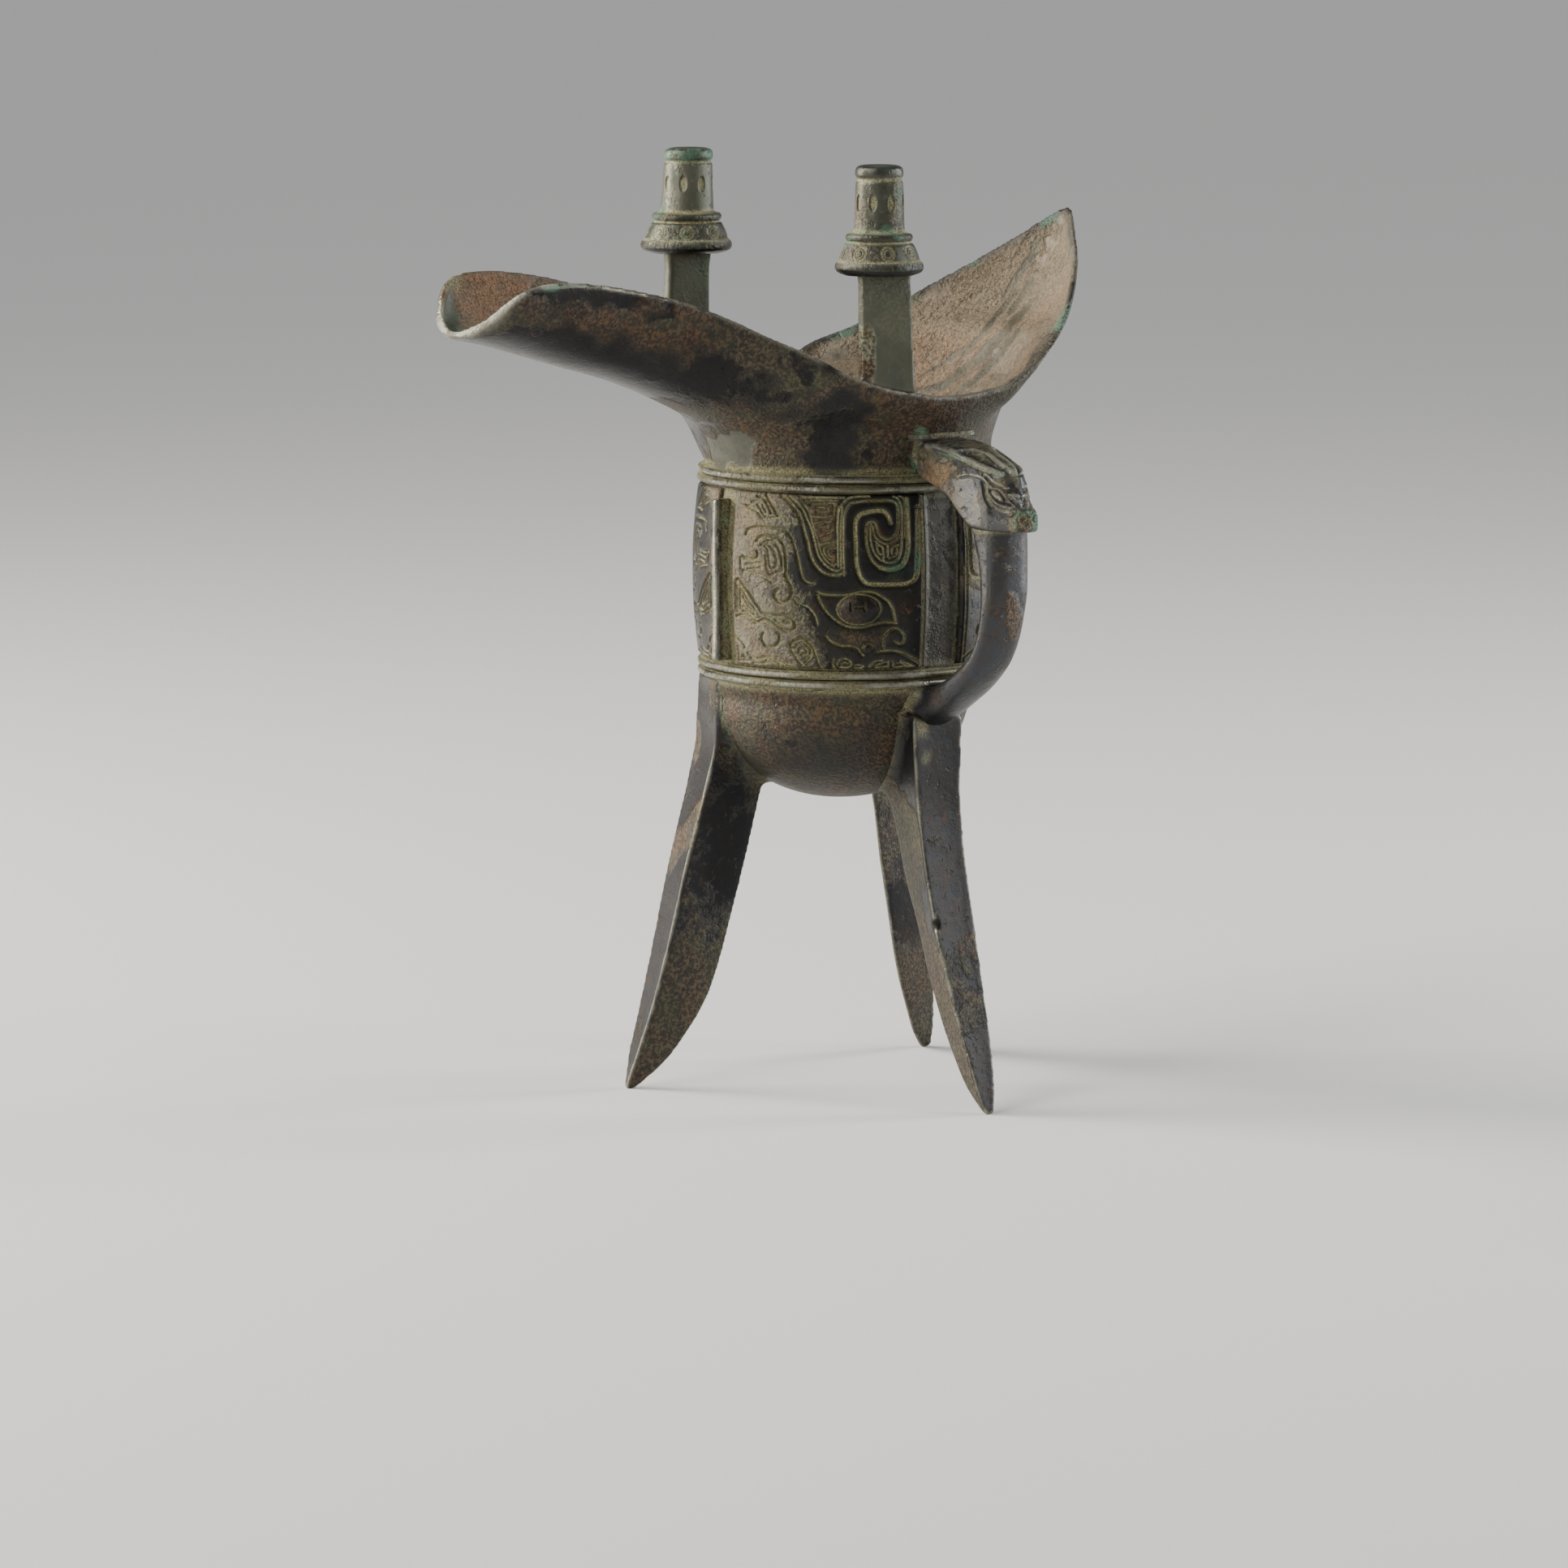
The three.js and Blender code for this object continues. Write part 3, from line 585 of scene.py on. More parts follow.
def outer_field(X, Y, Z, h, sunk=0.0):
    """Round body, spout and tail together; also returns the rim's height."""
    body = unit(bowl_field(X + 0 * Z, Y + 0 * Z, Z + 0 * X), h) + sunk
    w = np.maximum(look(HALF_W, X), 0.05)
    zr = rim_height(X, Y)
    zb = np.minimum(look(UNDER_Z, X), zr - 0.3)
    b = zr - zb
    n = 2.15
    q = ((np.abs(Y) / w) ** n + (np.maximum(zr - Z, 0) / b) ** n) ** (1 / n)
    trough = unit(((q - 1) * np.minimum(w, b)).astype(F4), h)
    return smin(body, trough, 4.0), zr


# --------------------------------------------------- cup wall, spout and tail
def make_vessel():
    h = 0.62
    ax = axes((-109.8, -42.6, 63.4), (65.4, 42.6, 195.5), h)
    X, Y, Z = (ax[0][:, None, None], ax[1][None, :, None], ax[2][None, None, :])
    # a shallow plain recess behind the handle
    ang = np.arctan2(-X, -Y)
    sunk = step(0.128, 0.112, np.abs(ang)) * step(97.2, 98.0, Z) * step(134.2, 133.4, Z) * (Y < 0)
    out, zr = outer_field(X, Y, Z, h, (0.55 * sunk).astype(F4))
    wall = 2.45 - 0.75 * step(150, 172, Z)
    f = smax(out, -(out + wall), 0.25)
    slope = np.gradient(RIM_Z[1], RIM_Z[0])
    cosx = 1 / np.sqrt(1 + np.interp(ax[0], RIM_Z[0], slope) ** 2)
    cut = ((Z - zr) * cosx[:, None, None]).astype(F4)
    f = smax(f, cut, 0.9)
    f = smax(f, (X - 63.9 + 0 * Y + 0 * Z).astype(F4), 0.8)
    v, q = skin(f, ax, h, 3)
    d = probe(out, ax, h, v)
    c = probe(cut + 0 * out, ax, h, v)
    x, y, z = v.T
    px, py = photo(v)
    inner = d < -0.9
    outer = ~inner
    near = facing(v, q) * outer
    lip = step(-1.3, -0.2, c)
    tanv = inner * np.clip(step(8, 34, x) + step(-34, -60, x) * 0.9 + 0.5, 0, 1)
    cav = outer * (np.exp(-((z - 139.4) / 0.9) ** 2) * 0.8 + np.exp(-((z - 92.0) / 0.8) ** 2) * 0.7)
    al = np.degrees(np.arctan2(-x, -y))
    inband = outer * (z > 96.4) * (z < 134.9)
    panel = inband * (np.abs(al) < 8.2)
    cav += inband * np.where(np.abs(al) < 8.2, 0.06, 0.6)
    cav += panel * 0.5 * (np.exp(-((np.abs(al) - 7.2) / 0.5) ** 2) + np.exp(-((z - 97.4) / 0.5) ** 2) + np.exp(-((z - 134) / 0.5) ** 2))
    # dark smooth metal in patches over the neck and belly and on the underside of the spout, which is also painted dark
    # there as painted shade
    underside_smooth_and_shaded = outer * step(-44, -60, x) * step(0.32, -0.05, (z - look(UNDER_Z, x)) / np.maximum(look(RIM_Z, x) - look(UNDER_Z, x), 1) - 0.18 + 0.12 * waves(31, 14, 0.1, 0.4)(x, y, z))
    spot = waves(21, 14, 0.08, 0.22)(x, y, z)
    fresh = 0.5 + outer * 0.30 * np.clip(spot, -1, 1) + 0.5 * underside_smooth_and_shaded - 0.25 * outer * (z > 139.5) * step(-40, -30, x) - 0.40 * (z < 92)
    fresh += near * (0.6 * blob(v, 760, 366, 120, 17, 9, 0.3, 41) + 0.5 * blob(v, 985, 452, 32, 20, 30, 0.3, 42)
                     + 0.35 * blob(v, 905, 470, 60, 24, 12, 0.3, 43))
    # dark glossy patches: a real stain on the neck, painted shade on the lower spout and in the middle of the bowl,
    # painted shade under the spout, and a darker panel behind the handle
    stain = near * np.clip(0.75 * blob(v, 1034, 530, 30, 52, 0, 0.7, 44, 0.5) + 0.5 * blob(v, 850, 462, 120, 26, 13, 0.6, 45, 0.6)
                           + 0.45 * blob(v, 1010, 935, 62, 34, 0, 0.5, 46, 0.9), 0, 1)
    stain = np.clip(stain + 0.36 * underside_smooth_and_shaded + 0.4 * panel, 0, 1)
    rust = near * np.clip(blob(v, 785, 412, 66, 26, 10, 0.5, 47) + blob(v, 852, 412, 34, 46, 10, 0.5, 48) + 0.5 * blob(v, 692, 388, 44, 14, 8, 0.5, 49)
                          + 0.7 * blob(v, 1112, 505, 58, 30, 0, 0.5, 50) + 0.6 * blob(v, 930, 540, 50, 26, 10, 0.5, 51)
                          + 0.5 * blob(v, 985, 880, 60, 24, 0, 0.6, 52), 0, 1)
    rust = np.clip(rust + outer * (1 - near) * 0.55 * step(0.42, 0.6, waves(32, 16, 0.1, 0.35)(x, y, z)), 0, 1)
    mala = near * np.clip(blob(v, 672, 350, 40, 7, -8, 0.3, 53) + blob(v, 1134, 570, 9, 34, 0, 0.5, 54)
                          + 0.5 * blob(v, 1131, 900, 8, 32, -12, 0.9, 55, 0.5), 0, 1)
    mala += lip * (0.75 * step(0.25, 0.5, waves(33, 12, 0.12, 0.5)(x, y, z)) * ((x > 14) | (x < -78)))
    fill = near * np.clip(0.9 * blob(v, 902, 556, 21, 22, -20, 0.5, 57, 0.12) + 0.25 * blob(v, 921, 925, 12, 42, -22, 0.7, 58, 0.4), 0, 1)
    # smooth green-grey strip inside the spout's tip
    strip = inner * step(-1.0, -2.0, c) * step(571, 559, px + 5 * waves(35, 10, 0.2, 0.8)(x, y, z)) * step(-96, -100, x)
    tanv = tanv * (1 - strip)
    edge = inner * step(8, 2, np.abs(px - 566 + 5 * waves(35, 10, 0.2, 0.8)(x, y, z))) * step(-96, -100, x)
    mala = np.clip(mala + 0.75 * edge + 0.35 * strip, 0, 1)
    fill = np.clip(fill + 0.75 * strip, 0, 1)
    rust = np.clip(rust + 0.6 * outer * step(92, 90, z) * step(0.0, 0.6, waves(39, 14, 0.12, 0.5)(x, y, z)) * (1 - stain), 0, 1)
    # smoother grey-green streaks inside the tail, sandy crumbs elsewhere
    streak = 0
    for k, (cx, cy, rx, ry, turn) in enumerate(((1212, 432, 60, 4, -44), (1196, 447, 46, 3.5, -38), (1226, 440, 40, 3.5, -48),
                                                (1180, 466, 34, 3.5, -25), (1236, 412, 50, 4, -48), (1254, 372, 36, 4, -55),
                                                (1262, 330, 30, 4, -60), (1150, 478, 34, 3.5, -15), (1208, 462, 30, 3, -40),
                                                (1172, 440, 40, 2.6, -34), (1216, 404, 44, 2.6, -50), (1240, 372, 34, 2.4, -56),
                                                (1190, 474, 26, 2.4, -28), (1274, 300, 22, 2.6, -64), (1246, 350, 30, 2.4, -58))):
        streak = np.maximum(streak, blob(v, cx, cy, rx, ry, turn, 0.4, 59 + k, 0.5))
    streak = inner * step(-2, 8, x) * streak
    tanv = tanv * (1 - 0.6 * streak)
    fill = np.clip(fill + 0.5 * streak, 0, 1)
    tip = step(-98, -107, x) * step(-3.5, -0.5, c)
    side = np.clip(step(3, -2, y) * (1 - 0.55 * step(10, 20, x)) + step(-101, -104.5, x), 0, 1)
    worn = np.clip(lip * np.clip(side, 0.12, 1) * (0.45 + 0.5 * (x < -60)) + 0.8 * tip * np.clip(side, 0, 1), 0, 1)
    rust = np.clip(rust + 0.7 * lip * step(0.3, 0.0, side) * step(-40, -60, x), 0, 1)
    tail = lip * step(10, 22, x)
    tanv = tanv * (1 - 0.8 * lip)
    stain = np.clip(stain + 0.45 * tail * step(3, -2, -y), 0, 1)
    rust = np.clip(rust + 0.8 * inner * step(-50, -76, x) * step(-0.3, 0.3, waves(36, 12, 0.12, 0.5)(x, y, z))
                   + 0.3 * inner * step(5, 20, x) * step(0.0, 0.8, waves(37, 12, 0.08, 0.3)(x, y, z)), 0, 1)
    cav = np.clip(cav + 0.6 * inner * (1 - strip) * step(-60, -80, x) * step(0.45, 0.7, waves(38, 12, 0.15, 0.5)(x, y, z)), 0, 1)
    piece("vessel_wall", v, q, "vessel_bronze",
          ["body_bowl", "body_band", "body_neck", "spout", "tail"],
          cav=cav, worn=worn, tan=tanv, fresh=fresh, rust=rust, mala=mala, stain=stain, fill=fill)


# -------------------------------------------------------------- bowstrings
def make_ring(name, z0, z1, seed):
    n, m = 360, 15
    t = np.linspace(0, math.pi, m)
    a = np.arange(n) * 2 * math.pi / n
    A, T = np.meshgrid(a, t, indexing="ij")
    wob = waves(seed, 6, 0.05, 0.2)
    base = 31.5
    k = (0.08 * wob(33 * np.cos(A), 33 * np.sin(A), 0 * A))
    R = base + (33.35 - base + k) * np.sin(T) ** 0.75
    Zz = (z0 + z1) / 2 - (z1 - z0 + 0.22) / 2 * np.cos(T) + 0.06 * wob(33 * np.sin(A), 0 * A, 33 * np.cos(A))
    v = np.stack([-R * np.sin(A), -R * np.cos(A), Zz], -1).reshape(-1, 3)
    # angles run clockwise seen from above, so the sheet is turned over
    top = step(0.7, 0.98, np.sin(T)).ravel()
    dirt = waves(seed + 40, 10, 0.1, 0.5)(*v.T)
    piece(name, v, sheet_faces(n, m, True)[:, ::-1], "relief_bronze", [name],
          worn=0.6 * top * step(-0.6, 0.3, dirt), cav=np.clip(0.9 * (1 - step(0.3, 0.8, np.sin(T))).ravel() + 0.35 * step(0.2, -0.5, dirt), 0, 1), fresh=0.55)


# ------------------------------------------------------------- relief quarters
# Grooves of one half mask, drawn as lines: (width in mm, [(angle round the
# bowl from the handle in degrees, height in mm), ...]).
GROOVES = [
    (1.00, [(11.8, 131.1), (11.9, 128.8), (12.1, 124.8), (12.4, 120.8), (12.7, 118.1), (13.5, 116.8), (14.8, 116.0), (17.3, 115.5), (20.7, 115.4), (25.2, 115.4), (28.8, 115.5), (31.5, 115.7), (33.5, 116.5), (34.8, 117.9), (35.6, 119.7), (35.9, 122.1), (36.0, 124.8), (36.2, 127.5), (36.0, 129.1), (35.4, 130.0), (34.2, 130.7), (32.4, 131.0), (29.7, 131.3), (27.0, 131.4), (25.4, 131.2), (24.2, 130.5), (23.4, 129.6), (23.1, 128.8)]),
    (0.55, [(40.6, 117.7), (40.5, 119.5), (40.7, 123.5), (40.7, 127.5), (40.5, 130.1), (40.0, 131.5), (39.1, 132.5), (37.5, 133.1), (35.3, 133.3), (31.9, 133.5), (27.4, 133.5), (23.4, 133.5), (21.6, 133.2), (20.4, 132.6), (20.0, 131.5), (20.0, 129.5), (20.2, 127.7), (20.9, 126.5), (22.2, 125.6), (23.8, 125.1), (25.4, 125.3), (27.0, 125.9), (27.9, 126.8), (28.4, 127.9), (28.8, 128.7), (29.7, 129.0)]),
    (0.60, [(29.7, 129.0), (30.9, 128.9), (31.9, 128.4), (32.3, 127.2), (32.2, 125.3), (31.8, 123.5), (30.9, 121.6), (29.2, 120.1), (27.0, 119.1), (24.0, 118.7)]),
    (0.95, [(27.0, 119.1), (24.0, 118.7), (20.9, 118.9), (18.6, 119.7), (17.3, 121.1), (16.5, 122.8), (16.2, 124.8), (16.2, 127.5), (16.2, 130.1), (16.3, 132.1), (16.4, 133.7)]),
    (0.40, [(21.6, 134.3), (20.2, 134.0), (19.3, 133.1), (18.8, 132.0), (18.6, 130.1), (18.7, 127.5), (18.9, 124.8), (19.2, 122.8), (20.0, 121.3), (21.6, 120.4), (23.8, 120.1), (26.1, 120.5), (27.9, 121.3), (29.4, 122.5), (30.3, 124.0), (30.7, 125.6), (30.7, 127.5), (30.3, 128.4)]),
    (0.33, [(19.3, 134.3), (18.1, 134.1), (17.3, 133.3), (17.2, 131.5), (17.3, 127.5), (17.5, 125.3)]),
    (0.45, [(29.8, 128.0), (29.6, 126.8), (28.7, 125.6), (27.0, 124.7), (24.7, 124.1), (22.5, 124.4), (20.7, 125.1), (19.7, 125.9)]),
    (0.40, [(24.3, 123.9), (24.3, 121.3)]),
    (0.40, [(28.8, 124.8), (27.4, 123.9), (26.2, 123.5), (26.0, 122.1), (25.9, 120.7)]),
    (0.35, [(28.5, 124.0), (28.2, 123.1), (27.6, 122.2), (26.7, 121.9)]),
    (0.35, [(20.4, 123.9), (21.8, 123.6), (22.8, 123.1), (22.8, 122.1)]),
    (0.35, [(20.7, 123.1), (20.9, 122.1), (21.8, 121.5), (23.8, 121.1)]),
    (0.40, [(42.5, 119.5), (42.7, 122.1), (42.8, 126.1), (42.7, 129.2), (42.5, 130.8), (41.8, 132.3), (40.2, 133.5), (38.7, 134.1), (36.4, 134.4), (30.8, 134.5)]),
    (0.25, [(41.7, 129.6), (41.8, 124.8), (41.6, 120.0)]),
    (0.55, [(50.0, 113.8), (47.5, 113.3), (43.8, 113.2), (40.1, 113.2), (37.0, 113.6), (34.2, 113.9), (31.4, 113.9), (28.8, 113.6), (26.3, 112.7), (24.0, 111.7), (22.6, 110.5), (21.9, 109.2), (21.3, 107.5)]),
    (0.50, [(50.0, 113.2), (49.2, 111.9), (47.8, 110.4), (45.8, 109.0), (43.3, 107.7), (40.1, 106.6), (37.0, 106.2), (34.2, 106.1), (31.4, 106.4), (28.8, 106.8), (26.3, 107.1), (23.7, 107.1), (21.0, 107.0)]),
    (0.55, [(25.6, 101.6), (25.6, 103.1), (25.0, 104.5), (23.4, 105.4), (21.4, 105.8), (19.5, 105.4), (17.9, 104.5), (17.6, 103.3), (18.6, 102.4), (20.0, 102.5), (21.3, 102.9)]),
    (0.50, [(46.8, 104.2), (45.2, 103.1), (43.0, 102.5), (40.4, 102.1), (38.2, 102.1), (36.2, 101.8), (34.8, 101.3), (34.2, 100.6), (33.3, 100.1)]),
    (0.55, [(27.7, 100.7), (25.4, 100.9), (22.6, 100.9), (20.0, 100.7), (17.5, 100.2), (14.6, 99.4), (12.1, 98.6), (10.7, 98.1)]),
    (0.30, [(33.8, 101.6), (32.8, 102.5), (31.4, 102.7), (29.9, 102.3), (29.4, 101.5)]),
    (0.50, [(44.2, 99.1), (44.6, 98.1), (43.9, 97.1), (43.3, 96.6)]),
    (0.35, [(43.0, 97.8), (42.8, 98.5), (42.0, 99.0), (40.4, 99.3), (38.9, 99.1), (37.7, 98.4), (37.9, 97.7), (39.3, 97.3), (41.8, 97.4)]),
    (0.30, [(41.4, 98.1), (40.1, 98.4), (38.8, 98.2)]),
    (0.30, [(36.5, 97.8), (34.8, 97.9), (33.1, 97.6), (34.2, 97.2), (36.2, 97.3)]),
    (0.35, [(30.9, 97.5), (29.7, 98.2), (28.0, 98.7), (25.8, 98.8)]),
    (0.32, [(28.7, 97.6), (26.8, 98.0), (24.3, 98.4)]),
    (0.30, [(28.2, 97.2), (24.1, 97.4)]),
    (0.30, [(23.5, 98.6), (23.4, 96.8)]),
    (0.32, [(22.2, 98.6), (21.4, 98.1), (21.4, 97.3), (17.2, 97.3), (13.1, 97.3)]),
    (0.30, [(20.3, 98.1), (18.3, 98.1), (16.8, 97.7)]),
    (0.33, [(18.9, 98.6), (16.6, 98.1), (14.1, 97.5)]),
    (0.60, [(64.8, 134.3), (62.4, 133.6), (59.8, 132.2), (57.7, 130.8), (56.4, 129.4), (55.5, 127.8), (54.7, 126.3), (53.8, 124.7), (53.2, 123.1), (52.3, 121.4), (51.0, 119.9), (49.2, 118.7), (47.2, 117.9), (44.8, 117.6), (42.2, 117.6), (40.3, 118.1)]),
    (0.42, [(61.8, 134.3), (58.9, 133.2), (57.0, 132.2), (55.5, 131.1), (54.4, 129.7), (53.3, 128.5), (52.2, 126.8), (51.3, 125.0), (50.6, 123.5), (49.8, 121.9), (48.6, 120.7), (46.9, 119.6), (45.1, 118.9), (43.4, 118.5), (42.1, 118.6)]),
    (0.35, [(57.3, 133.6), (55.4, 132.5), (54.1, 131.5), (53.1, 130.3), (52.3, 128.7), (51.3, 126.9), (50.4, 125.6), (49.7, 124.2), (48.9, 122.6), (47.8, 121.4), (46.3, 120.3), (44.5, 119.7), (43.5, 119.9)]),
    (0.30, [(44.3, 124.2), (47.5, 123.6), (47.9, 122.9), (47.2, 121.9), (45.7, 121.0), (44.5, 120.7)]),
    (0.28, [(43.4, 123.3), (45.9, 123.2), (46.5, 122.6), (45.9, 121.9), (44.7, 121.4)]),
    (0.40, [(57.1, 134.2), (50.1, 134.2), (40.7, 134.2)]),
    (0.30, [(55.4, 133.4), (50.1, 133.6), (43.1, 133.6)]),
    (0.30, [(52.8, 132.8), (48.6, 132.9), (44.5, 133.0), (44.3, 132.0), (44.4, 130.8)]),
    (0.30, [(50.7, 132.1), (47.5, 132.0)]),
    (0.30, [(50.6, 131.2), (47.2, 131.2), (46.5, 132.0)]),
    (0.30, [(52.5, 130.1), (47.5, 130.0), (45.2, 130.3)]),
    (0.30, [(52.2, 128.6), (48.9, 128.9), (45.9, 129.0)]),
    (0.30, [(50.4, 127.8), (46.6, 128.0)]),
    (0.30, [(48.6, 126.7), (45.1, 127.4)]),
    (0.30, [(49.1, 125.3), (45.1, 126.1)]),
    (0.35, [(49.4, 124.1), (46.3, 124.5), (42.8, 124.8)]),
    (0.30, [(42.7, 132.3), (43.1, 128.5), (42.9, 124.7), (42.7, 120.2)]),
    (0.35, [(41.2, 132.2), (41.6, 126.8), (41.4, 118.8)]),
    (0.45, [(71.5, 134.4), (70.0, 133.2), (68.6, 132.2), (67.1, 131.1), (65.9, 130.0)]),
    (0.45, [(75.2, 133.9), (72.7, 133.6), (70.9, 132.5), (69.7, 131.5), (68.8, 130.5)]),
    (0.35, [(77.8, 132.7), (75.3, 132.9), (73.2, 132.6), (72.4, 131.8), (70.9, 130.8)]),
    (0.40, [(80.4, 131.9), (78.5, 131.5), (76.5, 131.1), (74.7, 130.6), (73.3, 129.7), (71.8, 129.2), (68.9, 129.4), (65.4, 129.6)]),
    (0.30, [(75.0, 132.2), (73.6, 131.3), (72.4, 130.3), (70.9, 129.7)]),
    (0.45, [(79.7, 125.6), (79.1, 126.6), (77.4, 127.1), (74.7, 127.4), (71.2, 127.4), (67.7, 127.4), (64.8, 127.2), (62.4, 126.8), (60.7, 126.0), (59.5, 124.9), (58.6, 123.5), (57.7, 121.9), (57.0, 120.2), (56.3, 118.4), (55.7, 117.2), (54.8, 116.3), (53.0, 115.8), (51.4, 115.8)]),
    (0.45, [(74.7, 124.3), (74.0, 125.0), (72.7, 125.4), (70.0, 125.6), (67.1, 125.5), (64.8, 125.0), (63.3, 124.0), (62.4, 122.6), (62.0, 120.7), (61.8, 118.8), (62.0, 117.0)]),
    (0.35, [(72.8, 123.5), (70.6, 124.3), (68.3, 124.4), (66.5, 124.1), (65.1, 123.1), (64.0, 121.7), (63.5, 120.0), (63.4, 118.3)]),
    (0.33, [(71.2, 123.5), (70.0, 122.9), (69.3, 121.6), (68.9, 120.0), (68.3, 118.8)]),
    (0.33, [(68.9, 123.3), (67.4, 122.8), (66.3, 121.6), (65.8, 120.2), (66.1, 119.0), (67.4, 118.6)]),
    (0.35, [(70.4, 121.2), (70.0, 119.8), (69.5, 118.4), (68.8, 117.2)]),
    (0.33, [(68.0, 117.1), (66.5, 117.7), (64.8, 118.0), (63.7, 118.0)]),
    (0.45, [(74.4, 122.1), (73.9, 121.2), (75.0, 120.5), (77.1, 120.2), (79.3, 120.4), (81.2, 120.7)]),
    (0.40, [(82.0, 120.5), (81.8, 118.1)]),
    (0.33, [(79.4, 119.1), (75.0, 119.4), (72.1, 119.7)]),
    (0.33, [(78.4, 118.1), (75.0, 118.3), (72.6, 118.6)]),
    (0.38, [(80.9, 117.7), (76.5, 117.3), (73.6, 117.0), (70.6, 116.5), (68.9, 116.0), (67.5, 115.4)]),
    (0.50, [(65.0, 114.2), (66.2, 113.7), (66.6, 112.8), (65.7, 111.8), (64.1, 111.3), (62.3, 111.4), (60.7, 112.0), (59.6, 113.1), (59.5, 114.3), (60.2, 115.4), (61.2, 116.4), (61.7, 117.1)]),
    (0.40, [(58.8, 112.3), (57.5, 111.5), (55.7, 111.0), (54.1, 110.7), (52.8, 110.1), (51.5, 109.2), (50.5, 108.1), (50.1, 107.0)]),
    (0.45, [(84.5, 114.6), (84.1, 115.5), (83.1, 115.8), (82.0, 115.4), (80.2, 114.3), (78.3, 113.2), (76.5, 112.0), (74.9, 110.9), (73.3, 109.8), (71.8, 108.8), (69.6, 108.4), (67.8, 108.2)]),
    (0.38, [(84.7, 114.3), (84.6, 112.6), (84.8, 110.3), (84.7, 108.5)]),
    (0.33, [(83.7, 114.2), (83.7, 111.8), (83.8, 108.5)]),
    (0.33, [(82.1, 113.7), (82.1, 111.0), (82.2, 109.2)]),
    (0.33, [(81.4, 113.5), (79.9, 112.4), (78.1, 111.2), (76.2, 110.1), (74.4, 108.8), (73.6, 108.3)]),
    (0.30, [(80.8, 112.0), (79.1, 110.7), (77.3, 109.6), (75.2, 108.7)]),
    (0.30, [(80.7, 109.9), (78.9, 109.5), (76.8, 108.8), (75.4, 108.2)]),
    (0.33, [(81.0, 108.8), (78.9, 108.5), (76.8, 107.9), (74.7, 107.4), (72.8, 107.9)]),
    (0.45, [(84.5, 107.6), (81.8, 107.9), (78.9, 107.4), (76.2, 106.8), (74.7, 106.5), (72.8, 107.1), (70.4, 107.4), (68.3, 107.1), (66.2, 106.5), (64.6, 105.9), (63.1, 105.3), (60.4, 105.2), (59.0, 105.6), (58.4, 106.3), (58.8, 107.2), (60.2, 108.0), (61.7, 108.4), (64.4, 108.5), (67.3, 108.4)]),
    (0.38, [(66.4, 107.5), (64.9, 106.8), (63.3, 106.5), (61.5, 106.7), (60.4, 107.1), (61.3, 107.4), (62.9, 107.3)]),
    (0.55, [(71.8, 104.3), (72.6, 103.4), (72.2, 102.4), (71.0, 101.6), (69.1, 101.4), (67.3, 101.6), (65.7, 102.3), (64.9, 103.2), (64.9, 104.1), (65.6, 104.5)]),
    (0.40, [(86.6, 103.2), (85.2, 103.1), (83.3, 102.4), (81.5, 101.5), (80.8, 100.7)]),
    (0.38, [(84.6, 100.9), (84.3, 99.3), (84.6, 97.7)]),
    (0.33, [(83.9, 97.7), (80.2, 97.9), (78.3, 98.0), (78.2, 99.0)]),
    (0.30, [(82.8, 98.6), (81.5, 99.1), (81.1, 98.5)]),
    (0.33, [(84.8, 96.8), (80.2, 96.9), (73.6, 96.8)]),
    (0.42, [(79.4, 99.6), (77.8, 98.7), (75.7, 98.4), (73.1, 98.8), (71.0, 99.1), (68.9, 98.8), (66.7, 98.2), (64.4, 97.9), (60.9, 97.7), (59.1, 97.1)]),
    (0.33, [(77.5, 97.5), (74.1, 97.5), (71.4, 97.9), (71.0, 98.4)]),
    (0.33, [(71.0, 96.6), (68.3, 96.9), (66.0, 96.9), (65.7, 97.5)]),
    (0.33, [(64.4, 96.6), (63.1, 97.1), (59.9, 97.1)]),
    (0.50, [(60.4, 102.3), (59.4, 102.9), (57.5, 103.4), (55.4, 103.5), (53.6, 102.9), (52.0, 101.8), (51.1, 100.5), (50.4, 99.3), (49.6, 98.0), (48.6, 97.1), (47.5, 96.6)]),
    (0.40, [(60.5, 101.6), (59.9, 100.4), (58.6, 99.5), (57.3, 98.5), (56.2, 97.7)]),
    (0.33, [(58.8, 101.5), (57.3, 102.4), (55.4, 102.7), (53.8, 102.1), (52.5, 101.0), (52.5, 100.2), (54.1, 99.5), (55.7, 99.0)]),
    (0.33, [(57.4, 100.3), (57.0, 101.1), (55.4, 101.5), (54.1, 100.9), (54.4, 100.2), (55.7, 99.9), (56.6, 100.0)]),
    (0.33, [(55.2, 98.3), (53.6, 99.1), (52.5, 99.7)]),
    (0.33, [(54.4, 97.9), (52.8, 98.5), (51.2, 99.1)]),
    (0.30, [(53.8, 96.8), (51.6, 97.1)]),
]
EYE = (34.8, 110.05, 4.35, 3.05)      # angle, height, half width, half height
KNOB = (31.5, 101.35, 1.2)
DEG = math.radians(1) * 33.3          # mm along the band for one degree
LIDS = [(50, 113.8), (47.5, 113.3), (43.8, 113.1), (40.1, 113.2), (37, 113.6), (34.2, 113.9),
        (31.4, 113.9), (28.8, 113.6), (26.3, 112.7), (24, 111.7), (22.6, 110.5), (21.9, 109.2),
        (21.3, 107.5), (21.0, 107.0), (23.7, 107.1), (26.3, 107.1), (28.8, 106.8), (31.4, 106.4),
        (34.2, 106.1), (37, 106.2), (40.1, 106.6), (43.3, 107.7), (45.8, 109), (47.8, 110.4), (49.2, 111.9)]
WEDGE = [(57, 134.2), (54.4, 131.6), (52.3, 128.7), (50.4, 125), (48.9, 122.4), (46.3, 120.2),
         (44, 119.7), (43, 121), (42.8, 128), (42.6, 134)]


